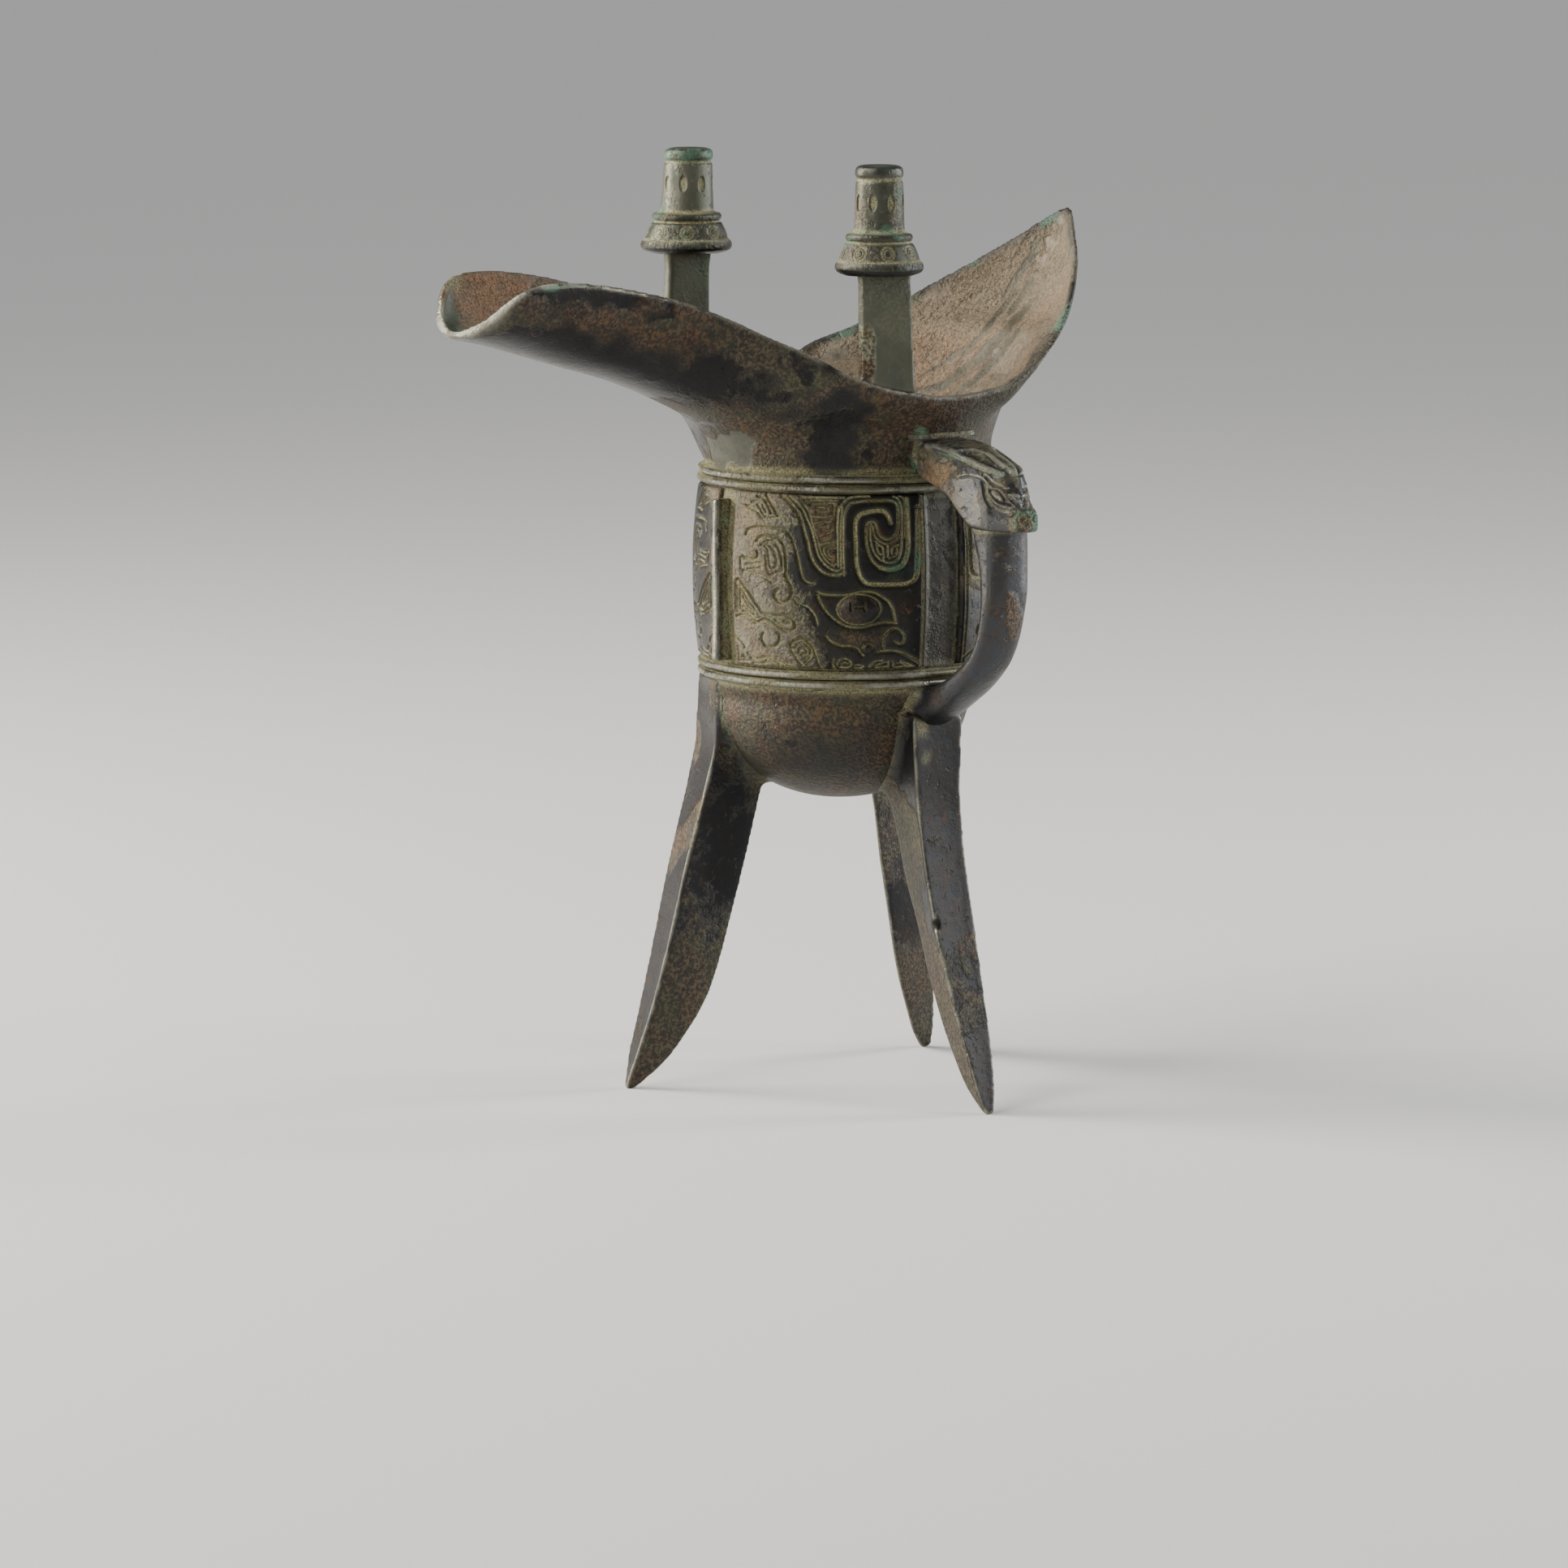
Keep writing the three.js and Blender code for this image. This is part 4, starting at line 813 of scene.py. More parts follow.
def relief_map():
    u = np.arange(8.3 * DEG, 87.2 * DEG, 0.15)
    z = np.arange(96.85, 134.95, 0.15)
    g_wide = np.zeros((len(u), len(z)))
    g_thin = np.zeros_like(g_wide)
    g_soft = np.zeros_like(g_wide)
    for width, pts in GROOVES:
        line = [(a * DEG, zz) for a, zz in pts]
        if width >= 0.45:
            stroke(g_wide, u, z, line, 0.03 + width * 0.42, 0.15)
        else:
            stroke(g_thin, u, z, line, 0.03 + width * 0.46, 0.12)
        stroke(g_soft, u, z, line, width / 2 + 0.25, 0.5)
    U, Z = u[:, None], z[None, :]
    hgt = np.zeros_like(g_wide)
    wd = waves(3, 16, 0.2, 0.7)
    hgt += 0.07 * wd(U, Z, 0 * U)
    # sunk grounds
    lids = inside([(a * DEG, b) for a, b in LIDS], U, Z)
    wedge = inside([(a * DEG, b) for a, b in WEDGE], U, Z)
    hgt -= 0.22 * lids
    hgt -= 0.14 * wedge
    hgt -= 0.13 * g_soft
    hgt -= 0.66 * g_wide
    hgt -= 0.44 * g_thin * (1 - g_wide)
    ea, ez, ew, eh = EYE
    q = np.sqrt(((U - ea * DEG) / ew) ** 2 + ((Z - ez) / eh) ** 2)
    ball = np.sqrt(np.maximum(0, 1 - q * q)) * 1.55
    hgt = np.where(q < 1, np.maximum(-0.2, -0.25 + ball), hgt)
    ring = np.exp(-((q - 1.08) / 0.055) ** 2)
    hgt -= 0.3 * ring
    # a short slot in the eyeball with small serifs
    du, dz = U - (ea + 0.3) * DEG, Z - (ez + 0.75)
    bar = np.maximum(np.abs(dz) - 0.30, np.abs(du) - 1.35)
    serif = np.maximum(np.abs(dz) - 0.85, np.abs(np.abs(du) - 1.35) - 0.24)
    slit = step(0.16, -0.12, np.minimum(bar, serif))
    hgt -= 0.45 * slit
    ka, kz, kr = KNOB
    qk = np.hypot(U - ka * DEG, Z - kz) / kr
    hgt = np.where(qk < 1, np.maximum(hgt, -0.15 + 0.8 * np.sqrt(np.maximum(0, 1 - qk * qk))), hgt)
    # upright fillets beside the handle's panel
    panel = np.zeros_like(hgt)
    stroke(panel, u, z, [(10.35 * DEG, 96), (10.35 * DEG, 136)], 0.26, 0.16)
    edge = np.minimum.reduce([U - u[0] + 0 * Z, u[-1] - U + 0 * Z, Z - z[0] + 0 * U, z[-1] - Z + 0 * U])
    hgt -= 0.5 * panel
    hgt -= 0.35 * (1 - step(0, 0.6, edge)) + 1.5 * (1 - step(-0.01, 0.1, edge))
    hgt -= 0.3 * step(1.6, 0.0, u[-1] - U)            # worn down beside the flange
    cav = np.maximum(g_wide, 0.95 * g_thin) + 0.9 * panel + 0.35 * slit + ring * 0.8 + 0.05 * g_soft
    cav = np.clip(cav, 0, 1)
    rust = np.clip(0.9 * wedge * (1 - 0.5 * g_thin) + 0.75 * (q < 1) * (1 - slit)
                   + 0.7 * np.exp(-((U / DEG - 35) / 9) ** 2 - ((Z - 103.9) / 1.7) ** 2), 0, 1)
    return u, z, hgt, cav, rust, (q < 0.92) * 1.0


def make_quarters():
    u, z, hgt, cav, rust, dome = relief_map()
    U, Z = np.meshgrid(u, z, indexing="ij")
    for i, (name, sx, sy, last) in enumerate((
            ("mask_near_spout", 1, 1, 87.2), ("mask_near_tail", -1, 1, 87.2),
            ("mask_far_spout", 1, -1, 83.3), ("mask_far_tail", -1, -1, 87.2))):
        wob = waves(50 + i, 10, 0.15, 0.4)
        far = sy < 0
        ua = U / DEG
        if far:      # the back quarters meet at a flange and not at a panel
            ua = 3.0 + (ua - 8.3) * (last - 3.0) / (87.2 - 8.3)
        ua = ua + 0.14 * wob(U, Z, 0 * U) * (i > 0)
        zz = Z + 0.12 * wob(Z, U, 0 * U) * (i > 0)
        a = np.radians(ua)
        R = 31.9 + swell(zz) + 1.18 + hgt
        v = np.stack([-sx * R * np.sin(a), -sy * R * np.cos(a), zz], -1).reshape(-1, 3)
        f = sheet_faces(len(u), len(z))
        if sx * sy > 0:
            f = f[:, ::-1]
        big = waves(70 + i, 12, 0.08, 0.25)(U, Z, 0 * U)
        if i == 0:
            smooth_ = np.clip(step(60, 44, ua + 4 * big), 0, 1)
            sandy = 0.95 * step(54, 72, ua + 5 * big)
        else:
            smooth_ = step(-0.5, 0.3, big)
            sandy = step(0.1, -0.6, big) * 0.9
        dirt = waves(90 + i, 18, 0.3, 1.2)(U, Z, 0 * U)
        cv = np.clip(cav + 0.25 * sandy * step(0.0, 0.9, dirt), 0, 1)
        mala = 0.7 * step(0.72, 0.95, waves(80 + i, 16, 0.15, 0.6)(U, Z, 0 * U)) * np.clip(0.1 + cav, 0, 1)
        piece(name, v, f, "relief_bronze", [name], cav=cv.ravel(),
              fresh=(0.25 + 0.7 * smooth_ + 0.3 * dome).ravel(), worn=(0.22 * sandy * step(-0.3, 0.1, hgt) * (1 - cav) * step(0.3, -0.5, dirt)).ravel(),
              tan=(0.5 * sandy * (1 - cav)).ravel(), rust=np.clip(rust * step(-0.9, 0.2, dirt) + 0.35 * sandy * step(-0.2, 0.7, dirt), 0, 1).ravel(), mala=mala.ravel(), stain=(0.45 * dome).ravel())


def make_flange(name, deg, z0, z1, half):
    h = 0.32
    ax = axes((-2.6, -38, 95), (2.6, -31.4, 135), h)
    X, Y, Z = (ax[0][:, None, None], ax[1][None, :, None], ax[2][None, None, :])
    wob = waves(90 + int(deg), 8, 0.15, 0.5)
    f = smax(np.abs(X) - half + 0.05 * (-Y - 33) - 0.08 * wob(X, Y, Z), -Y - 36.05 + 0.16 * wob(Z, Y, X), 0.6)
    f = smax(f, np.abs(Z - (z0 + z1) / 2) - (z1 - z0) / 2, 0.7)
    f = smax(f.astype(F4), (Y + 31.8 + 0 * X + 0 * Z).astype(F4), 0.1)
    v, q = skin(f, ax, h, 1)
    top = step(-35.0, -35.8, v[:, 1])
    foot = step(-34.9, -33.9, v[:, 1])
    a = math.radians(-deg)
    c, s = math.cos(a), math.sin(a)
    v = np.stack([c * v[:, 0] - s * v[:, 1], s * v[:, 0] + c * v[:, 1], v[:, 2]], 1)
    dirt = waves(190 + int(deg), 16, 0.2, 1.0)(*v.T)
    piece(name, v, q, "relief_bronze", [name], worn=0.55 * top, cav=np.clip(0.55 * foot + 0.3 * step(0, 0.8, dirt) * (1 - top), 0, 1),
          fresh=0.35 + 0.4 * top, tan=0.4 * foot, mala=0.35 * foot * step(0.6, 0.9, dirt))


# -------------------------------------------------------------------- posts
def make_post(name, sign):
    h = 0.34
    ax = axes((-28.6, -43.5, 153.5), (-7, -27, 186.6), h)
    X, Y, Z = (ax[0][:, None, None], ax[1][None, :, None], ax[2][None, None, :])
    k = math.radians(20 if sign < 0 else -8)
    cx = -17.0 - (2.35 if sign > 0 else 0)
    cy = -34.3 + (Z - 158) * 0.04 + (0.3 if sign > 0 else 0)
    px, py = X - cx, Y - cy
    T = px * math.cos(k) - py * math.sin(k)
    Nn = -px * math.sin(k) - py * math.cos(k)          # outward
    hw = 5.5 + 0.45 * step(182, 158, Z) - (0.2 if sign > 0 else 0) + 0.3 * step(180.5, 184, Z)
    wob = waves(120 + sign, 8, 0.1, 0.4)
    f = smax(np.abs(T) - hw - 0.06 * wob(Z, X, Y), np.abs(Nn) - 1.62 + 0.06 * wob(X, Y, Z), 0.45 if sign < 0 else 1.3)
    f = smax(f, (Z - (183.9 if sign < 0 else 185.4) + 0 * X).astype(F4), 0.2)
    f = smax(f, 154.6 - Z + 0 * X + 0 * Y, 0.2)
    f = unit(f.astype(F4), h)
    body = bowl_field(X + 0 * Z, Y + 0 * Z, Z + 0 * X)
    zr = look(RIM_Z, X)
    wall = smax(smax(body, -(body + 2.3), 0.3), (Z - zr + 0 * Y).astype(F4), 0.8)
    g = smin(f, wall - 0.03, 1.3)
    g = smax(g, f - 1.0, 0.1)
    if sign < 0:
        g = smax(g, (body - 0.12) * step(163, 158, Z) - 40 * step(158, 163, Z), 0.4)
    else:        # tapers into the outside of the wall
        g = smax(g, (body - 0.12 - 0.6 * np.maximum(0, Z - zr + 1.0)).astype(F4), 0.6)
    g = smax(g, 154.9 - Z + 0 * X + 0 * Y, 0.1)
    v, q = skin(g.astype(F4), ax, h, 1)
    c = bend(v, q, h)
    worn = step(0.10, 0.3, c)
    z = v[:, 2]
    low = step(166, 158, z)
    v[:, 1] *= -sign
    if sign > 0:
        q = q[:, ::-1]
    spot = waves(140 + sign, 12, 0.1, 0.4)(*v.T)
    near = facing(v, q) if sign < 0 else 0.0
    rust = 0.6 * step(0.45, 0.8, waves(144 + sign, 14, 0.15, 0.5)(*v.T)) * step(158, 166, z)
    if sign < 0:
        rust = rust + near * blob(v, 1068, 440, 9, 34, 0, 0.5, 145)
    piece(name, v, q, "post_bronze", [name], worn=0.75 * worn * (1 - 0.6 * low), fresh=0.85 + 0.12 * spot + 0.1 * low - (0.18 if sign > 0 else 0),
          cav=np.clip(0.35 * step(181.8, 183.4, z) + (0.4 if sign > 0 else 0.1) * step(0.3, 0.8, -spot), 0, 1), rust=np.clip(rust, 0, 1),
          stain=0.45 * low * step(0.0, 0.5, spot), fill=0.6 * step(0.6, 0.2, rust),
          mala=(0.4 * step(0.5, 0.9, spot) if sign > 0 else 0.0))


CAP = [(0.0, 204.9), (3.2, 204.95), (4.6, 204.6), (5.05, 204.0), (5.15, 203.1), (4.98, 202.5),
       (4.78, 202.2), (4.72, 201.85), (4.95, 201.45), (5.08, 200.8), (5.25, 196.5), (5.5, 192.2),
       (5.66, 191.3), (6.2, 190.95), (6.95, 190.7), (7.25, 190.2), (7.15, 189.6), (6.85, 189.2),
       (6.9, 188.85), (7.35, 188.6), (7.75, 187.9), (8.25, 186.8), (8.65, 185.6), (8.75, 185.25),
       (9.1, 185.0), (9.48, 184.4), (9.58, 183.8), (9.4, 183.2), (8.9, 182.75), (7.6, 182.3),
       (6.4, 182.1), (0.0, 182.0)]


def make_cap(name, sign, cx, cy, base, tall, ph_oval, ph_ring, wide=1.0, tilt=0.0):
    p = np.array(CAP) * [wide, 1]
    p[:, 1] = 182 + (p[:, 1] - 182) * tall / 22.95
    kz = tall / 22.95
    line = spline(p * [1, 1], 0.16)
    d = np.concatenate([[0], np.cumsum(np.hypot(*np.diff(line, axis=0).T))])
    m = int(d[-1] / 0.16)
    t = np.linspace(0, d[-1], m)
    r = np.maximum(np.interp(t, d, line[:, 0]), 0.02)
    z = np.interp(t, d, line[:, 1])
    n = 330
    a = np.arange(n) * 2 * math.pi / n
    A, R = np.meshgrid(a, r, indexing="ij")
    Zz = np.broadcast_to(z, A.shape)
    zn = 182 + (Zz - 182) / kz                 # height on the drawn profile
    nr = np.gradient(z, t)
    nz = -np.gradient(r, t)
    flip = -1 if nr[m // 2] > 0 else 1
    NR, NZ = np.broadcast_to(nr * flip * -1, A.shape), np.broadcast_to(nz * flip * -1, A.shape)
    # outward is +r on the shank
    sgn = np.sign(NR[0, np.argmin(np.abs(z - 196.5) + 10 * (r < 3))])
    NR, NZ = NR * sgn, NZ * sgn
    off = np.zeros_like(A)
    oval = np.zeros_like(A)
    rings = np.zeros_like(A)
    for k in range(8):
        ak = math.radians(ph_oval) + k * math.pi / 4
        da = (A - ak + math.pi) % (2 * math.pi) - math.pi
        q = np.hypot(da * 5.25 / 0.84, (zn - 197.3 + 0.15 * math.sin(3 * k)) / 1.7)
        oval = np.maximum(oval, (1 - step(0.80, 1.08, q)) * (R > 4.5) * (zn < 200.4) * (zn > 193))
        ar = math.radians(ph_ring) + k * math.pi / 4
        db = (A - ar + math.pi) % (2 * math.pi) - math.pi
        q2 = np.hypot(db * 8.25, (zn - 186.95) * 1.08)
        side = (zn > 185.0) * (zn < 188.9) * (R > 6)
        rings = np.maximum(rings, side * (np.exp(-((q2 - 1.46) / 0.21) ** 2) + 0.8 * np.exp(-((q2 - 0.85) / 0.16) ** 2)))
    wob = waves(160 + sign, 12, 0.25, 0.9)
    xo, yo = R * np.cos(A), R * np.sin(A)
    off += 0.06 * wob(xo, yo, Zz)
    off -= 0.42 * oval
    off -= 0.22 * np.clip(rings, 0, 1)
    R2 = np.maximum(R + off * NR, 0.01)
    Z2 = Zz + off * NZ + base - 182
    v = np.stack([cx + R2 * np.cos(A) + tilt * (Z2 - base - 12), cy + R2 * np.sin(A), Z2], -1).reshape(-1, 3)
    groove = np.exp(-((zn - 202.0) / 0.4) ** 2) * (R < 5.2) + np.exp(-((zn - 191.2) / 0.5) ** 2) + np.exp(-((zn - 189.0) / 0.35) ** 2) * (R < 7.4) + np.exp(-((zn - 185.15) / 0.3) ** 2)
    cav = np.clip(oval + 0.9 * np.clip(rings, 0, 1) + 0.85 * groove, 0, 1)
    f = sheet_faces(n, m, True)
    if v[:, 2].reshape(n, m)[0, 0] > v[:, 2].reshape(n, m)[0, -1]:
        f = f[:, ::-1]
    dull = step(-0.2, 0.5, wob(xo * 0.4, yo * 0.4, Zz * 0.4))
    grn = waves(170 + sign, 14, 0.3, 1.0)(xo, yo, Zz)
    bead = step(202.2, 202.6, zn)
    shank = step(191.6, 192.2, zn) * step(201.6, 201.0, zn)
    ringz = step(189.2, 189.4, zn) * step(191.0, 190.7, zn)
    band = step(185.3, 185.6, zn) * step(188.9, 188.6, zn) * (R > 6)
    lip = step(183.0, 183.4, zn) * step(185.1, 184.7, zn) * (R > 7)
    # lower lip and the cap's underside: dark metal on the lip and painted shade underneath
    lowlip_dark_and_shaded = step(183.6, 183.0, zn) * (R > 5)
    line = np.clip(rings, 0, 1)
    far = sign > 0
    worn = (0.10 + 0.10 * far) * shank * (1 - dull) + 0.35 * lip * np.exp(-((zn - 184.7) / 0.3) ** 2) + 0.15 * bead * (not far)
    mala = step(201.9, 202.5, zn) * step(-0.6, 0.1, grn) * (0.65 if far else 0.35) + 0.55 * step(0.6, 0.85, grn) * (zn < 200)
    stain = (0.2 if far else 0.55) * bead + (0.35 if far else 0.5) * ringz + (0.32 if far else 0.40) * band * (1 - line) + (0.45 if far else 0.6) * lip + 0.85 * lowlip_dark_and_shaded + (0.0 if far else 0.22) * shank * dull
    piece(name, v, f, "post_bronze", [name], cav=cav.ravel(), worn=np.clip(worn, 0, 1).ravel(), fresh=(0.72 + 0.2 * dull).ravel(),
          mala=np.clip(mala * (1 - oval), 0, 1).ravel(), rust=np.clip(((0.35 if far else 0.75) * step(0.3, 0.7, waves(174 + sign, 14, 0.2, 0.7)(xo, yo, Zz)) * (1 - lowlip_dark_and_shaded) * (1 - bead) + (0.0 if far else 0.45) * band) * (1 - oval) * (1 - line), 0, 1).ravel(),
          stain=np.clip(stain, 0, 1).ravel(), fill=((0.35 if far else 0.12) * shank * (1 - oval)).ravel())


# --------------------------------------------------------------------- legs
LEG_Z = [-6, 0, 2, 5, 10, 18, 28, 39, 48.5, 58, 66.5, 74, 82, 88, 96]
LEG_OUT = smooth_table(list(zip(LEG_Z, [52, 50, 49.5, 48.7, 47.3, 44.6, 41.4, 38, 35.6, 33.6, 32.3, 31.9, 31.7, 31.45, 30.6])), 1.2)
LEG_IN = smooth_table(list(zip(LEG_Z, [53, 47.9, 45.2, 42, 38.5, 33.5, 29, 25, 21, 18, 14.5, 12, 10, 9, 8])), 1.0)
LEG_W = smooth_table(list(zip(LEG_Z, [2, 3, 4, 5.4, 6.7, 8.7, 10.2, 11.4, 11.8, 12.1, 12.6, 13.2, 14, 14, 14])), 1.5)
# the leg under the spout is straighter, stands out more and is cast askew
LEG2_OUT = smooth_table([(-6, 52.2), (0, 50.4), (8, 48.4), (16.5, 46), (29, 43), (39, 40.8), (49, 38.7), (62, 35.5), (70, 33.6), (78, 32), (88, 31.4), (96, 30.6)], 1.2)
LEG2_IN = smooth_table([(-6, 53), (0, 47.9), (5, 42), (10, 38), (14, 35.4), (20, 32.1), (29, 29), (39, 26.3), (48.5, 23.9), (61.5, 20.8), (68, 19.4), (74, 18), (82, 17), (96, 16)], 1.0)


def make_leg(name, deg, top, seed, t_out, t_in, skew=0.0):
    h = 0.42
    ax = axes((-10, -54, -1.2), (10, -8, 93), h)
    X, Y, Z = (ax[0][:, None, None], ax[1][None, :, None], ax[2][None, None, :])
    rho = -Y + skew * X * step(1, 8, Z)
    ro, ri, w = look(t_out, Z), look(t_in, Z), look(LEG_W, Z) / 2
    u = (rho - ri) / np.maximum(ro - ri, 0.5)
    hw = 0.35 + (w - 0.35) * np.where(u > 0, np.maximum(u, 0) ** 0.88, 1.5 * u)
    hollow = 0.3 * np.maximum(0, 1 - (X / w) ** 2)
    wob = waves(seed, 10, 0.08, 0.3)
    f = smax(rho - ro + hollow, np.abs(X) - hw + 0.07 * wob(X, Y, Z), 0.55)
    nick = 0.9 - np.sqrt((X + 5.3) ** 2 + (Y + 37.3) ** 2 + ((Z - 41.0) * 0.7) ** 2)
    if deg == 0:
        f = smax(f, nick, 0.3)
    f = unit(f.astype(F4), h)
    f = smax(f, -Z + 0 * X + 0 * Y, 0.5)
    a = math.radians(-deg)
    c, s = math.cos(a), math.sin(a)
    body = unit(bowl_field(c * X - s * Y + 0 * Z, s * X + c * Y + 0 * Z, Z + 0 * X + 0 * Y), h)
    f = smax(f, Z - top, 1.5)
    g = smin(f, body + 0.4 * step(0.8, 2.4, f), 3.0)
    g = smax(g, f - 2.9, 0.1)
    g = smax(g, -(body + 1.2), 0.1)
    g = smax(g, Z - 92.4, 0.1)
    v, q = skin(g.astype(F4), ax, h, 6)
    cv = bend(v, q, h)
    fl, bd = probe(f, ax, h, v), probe(body, ax, h, v)
    cav = 0.45 * step(0.2, 2.2, fl) * step(3.0, 0.6, bd)
    worn = step(0.035, 0.12, cv) * step(2.0, 6.0, bd)
    rr = -v[:, 1] + skew * v[:, 0]
    outer = step(1.2, 0.4, np.abs(rr - look(t_out, v[:, 2])))
    low = step(42, 12, v[:, 2])
    v = np.stack([c * v[:, 0] - s * v[:, 1], s * v[:, 0] + c * v[:, 1], v[:, 2]], 1)
    spot = waves(seed + 5, 12, 0.06, 0.25)(*v.T)
    rough = waves(seed + 9, 14, 0.1, 0.5)(*v.T)
    side = (1 - outer)
    fresh = 0.62 + 0.22 * spot + 0.30 * outer - 0.50 * side * low - 0.12 * side
    rust = 0.75 * side * low * step(-0.2, 0.5, rough) + 0.7 * outer * step(0.62, 0.85, rough)
    fill = 0.0 * rr
    mala = 0.6 * cav * step(0.2, 0.6, rough)
    if deg == 120:
        fill = 0.3 * facing(v, q) * blob(v, 921, 925, 12, 42, -22, 0.7, 58, 0.4)
    if deg == 0:
        cav = np.clip(cav + 0.8 * facing(v, q) * blob(v, 1133, 880, 8, 26, -14, 1.0, 55, 0.6), 0, 1)
    piece(name, v, q, "leg_bronze", [name], cav=np.clip(0.5 * cav + 0.3 * worn * step(0.3, 0.8, rough), 0, 1), worn=0.85 * worn,
          fresh=np.clip(fresh, 0, 1), rust=np.clip(rust, 0, 1), fill=fill, mala=np.clip(mala, 0, 1),
          stain=0.5 * side * (1 - low) * step(0.0, 0.5, spot) * (1 - worn))


# ------------------------------------------------------------------- handle
LOOP_OUT = np.array([(57.6, 131), (57.3, 125), (56.8, 118.1), (56.3, 112.7), (55, 108.3), (53.4, 103.8), (51, 99.3),
                     (47.7, 95.2), (43.5, 91.5), (39.3, 88.7), (35.1, 86), (30.6, 83.6)], float)
LOOP_IN = np.array([(47.6, 131), (50.2, 125), (51.5, 119.6), (52.0, 114.3), (51.7, 109), (50.4, 104.2), (48.4, 101),
                    (45, 98.1), (41.3, 95.6), (38.3, 94.1), (34.9, 92.9), (30.6, 91.9)], float)


def make_loop():
    h = 0.36
    ax = axes((-8.5, -60, 80), (8.5, -26, 130.2), h)
    X, Y, Z = (ax[0][:, None, None], ax[1][None, :, None], ax[2][None, None, :])
    o, i = spline(LOOP_OUT, 0.5), spline(LOOP_IN, 0.5)
    n = 160
    t = np.linspace(0, 1, n)

    def even(p):
        d = np.concatenate([[0], np.cumsum(np.hypot(*np.diff(p, axis=0).T))])
        d /= d[-1]
        return np.stack([np.interp(t, d, p[:, 0]), np.interp(t, d, p[:, 1])], 1)
    o, i = even(o), even(i)
    mid, half = (o + i) / 2, np.hypot(*(o - i).T) / 2
    tang = np.gradient(mid, axis=0)
    tang /= np.hypot(*tang.T)[:, None]
    r2, z2 = -ax[1].astype(float), ax[2].astype(float)
    R, ZZ = np.meshgrid(r2, z2, indexing="ij")
    best = np.full(R.shape, 1e9)
    side = np.zeros(R.shape)
    th = np.zeros(R.shape)
    for k in range(n):
        dx, dz = R - mid[k, 0], ZZ - mid[k, 1]
        d = dx * dx + dz * dz
        m = d < best
        best[m] = d[m]
        side[m] = (dx * -tang[k, 1] + dz * tang[k, 0])[m]
        th[m] = half[k]
    best = np.sqrt(best)
    sgn = np.sign(side)
    outn = sgn if sgn[np.argmin(np.abs(r2 - 58)), np.argmin(np.abs(z2 - 115))] > 0 else -sgn
    s = (best * outn)[None]                      # + towards the outside
    th = th[None]
    # flat inside, rounded outside
    hw = 5.6
    dome = s - th * (1 - 0.62 * np.minimum(np.abs(X) / hw, 1.4) ** 2.4)
    f = smax(dome, -s - th * 0.96, 0.6)
    f = smax(f, np.abs(X) - hw, 1.4)
    f = smax(f, (best[None] - th - 1.5) + 0 * X, 0.2)
    f = unit(f.astype(F4), h)
    body = unit(bowl_field(X + 0 * Z, Y + 0 * Z, Z + 0 * X), h)
    g = smin(f, body + 0.4 * step(0.7, 2.1, f), 2.6)
    g = smax(g, f - 2.5, 0.1)
    g = smax(g, -(body + 1.2), 0.1)
    g = smax(g, Z - 129.4, 0.1)
    g = smax(g, 81.4 - Z, 0.1)
    v, q = skin(g.astype(F4), ax, h, 2)
    cv = bend(v, q, h)
    bd = probe(body, ax, h, v)
    near = facing(v, q)
    red = near * blob(v, 1248, 760, 9, 30, 0, 0.35, 66)
    rough = waves(67, 14, 0.1, 0.4)(*v.T)
    piece("handle_loop", v, q, "handle_bronze", ["handle_loop"],
          worn=0.35 * step(0.05, 0.2, cv), cav=0.5 * step(2.5, 0.4, bd) + 0.55 * step(127.4, 128.4, v[:, 2]) * step(0.0, 0.4, rough + 0.3),
          fresh=np.clip(0.55 + 0.5 * step(2.0, 8.0, bd) + 0.1 * rough, 0, 1), rust=np.clip(0.85 * red + 0.5 * step(6, 1, bd) * step(0, 0.5, rough) + 0.6 * step(124, 127.5, v[:, 2]) * step(0.2, 0.6, rough), 0, 1),
          stain=0.75 * step(-0.1, 0.5, -rough) * step(100, 92, v[:, 2]) * step(0.5, 3, bd))


# ---------------------------------------------------------------- beast head
# Ridge of the snout, seen from the side: height and distance from the axis.
FRONT_R = smooth_table([(126, 61.0), (129, 61.0), (133.1, 60.9), (133.9, 60.3), (135.6, 59.5), (137.6, 58.7), (139.3, 58.1),
                        (141, 57.0), (142.1, 54.9), (143.3, 52.2), (144.3, 49.5), (145.1, 46.2), (146, 41), (146.9, 32), (147.5, 22)], 0.3, 3)
PLAN_S = np.array([0, 0.5, 1, 2, 3.5, 6.1, 8, 14, 45.0])
PLAN_W = np.array([0.1, 1.6, 2.5, 3.5, 4.4, 5.9, 6.25, 6.4, 6.4])
HEAD_LOW = smooth_table([(28, 139.8), (32, 138.6), (36.4, 136.9), (38.9, 136), (42.1, 134.5), (44.8, 132),
                         (47.6, 129.7), (49.7, 128.5), (55, 128.3), (62, 128.3), (66, 128.4)], 0.4, 4)
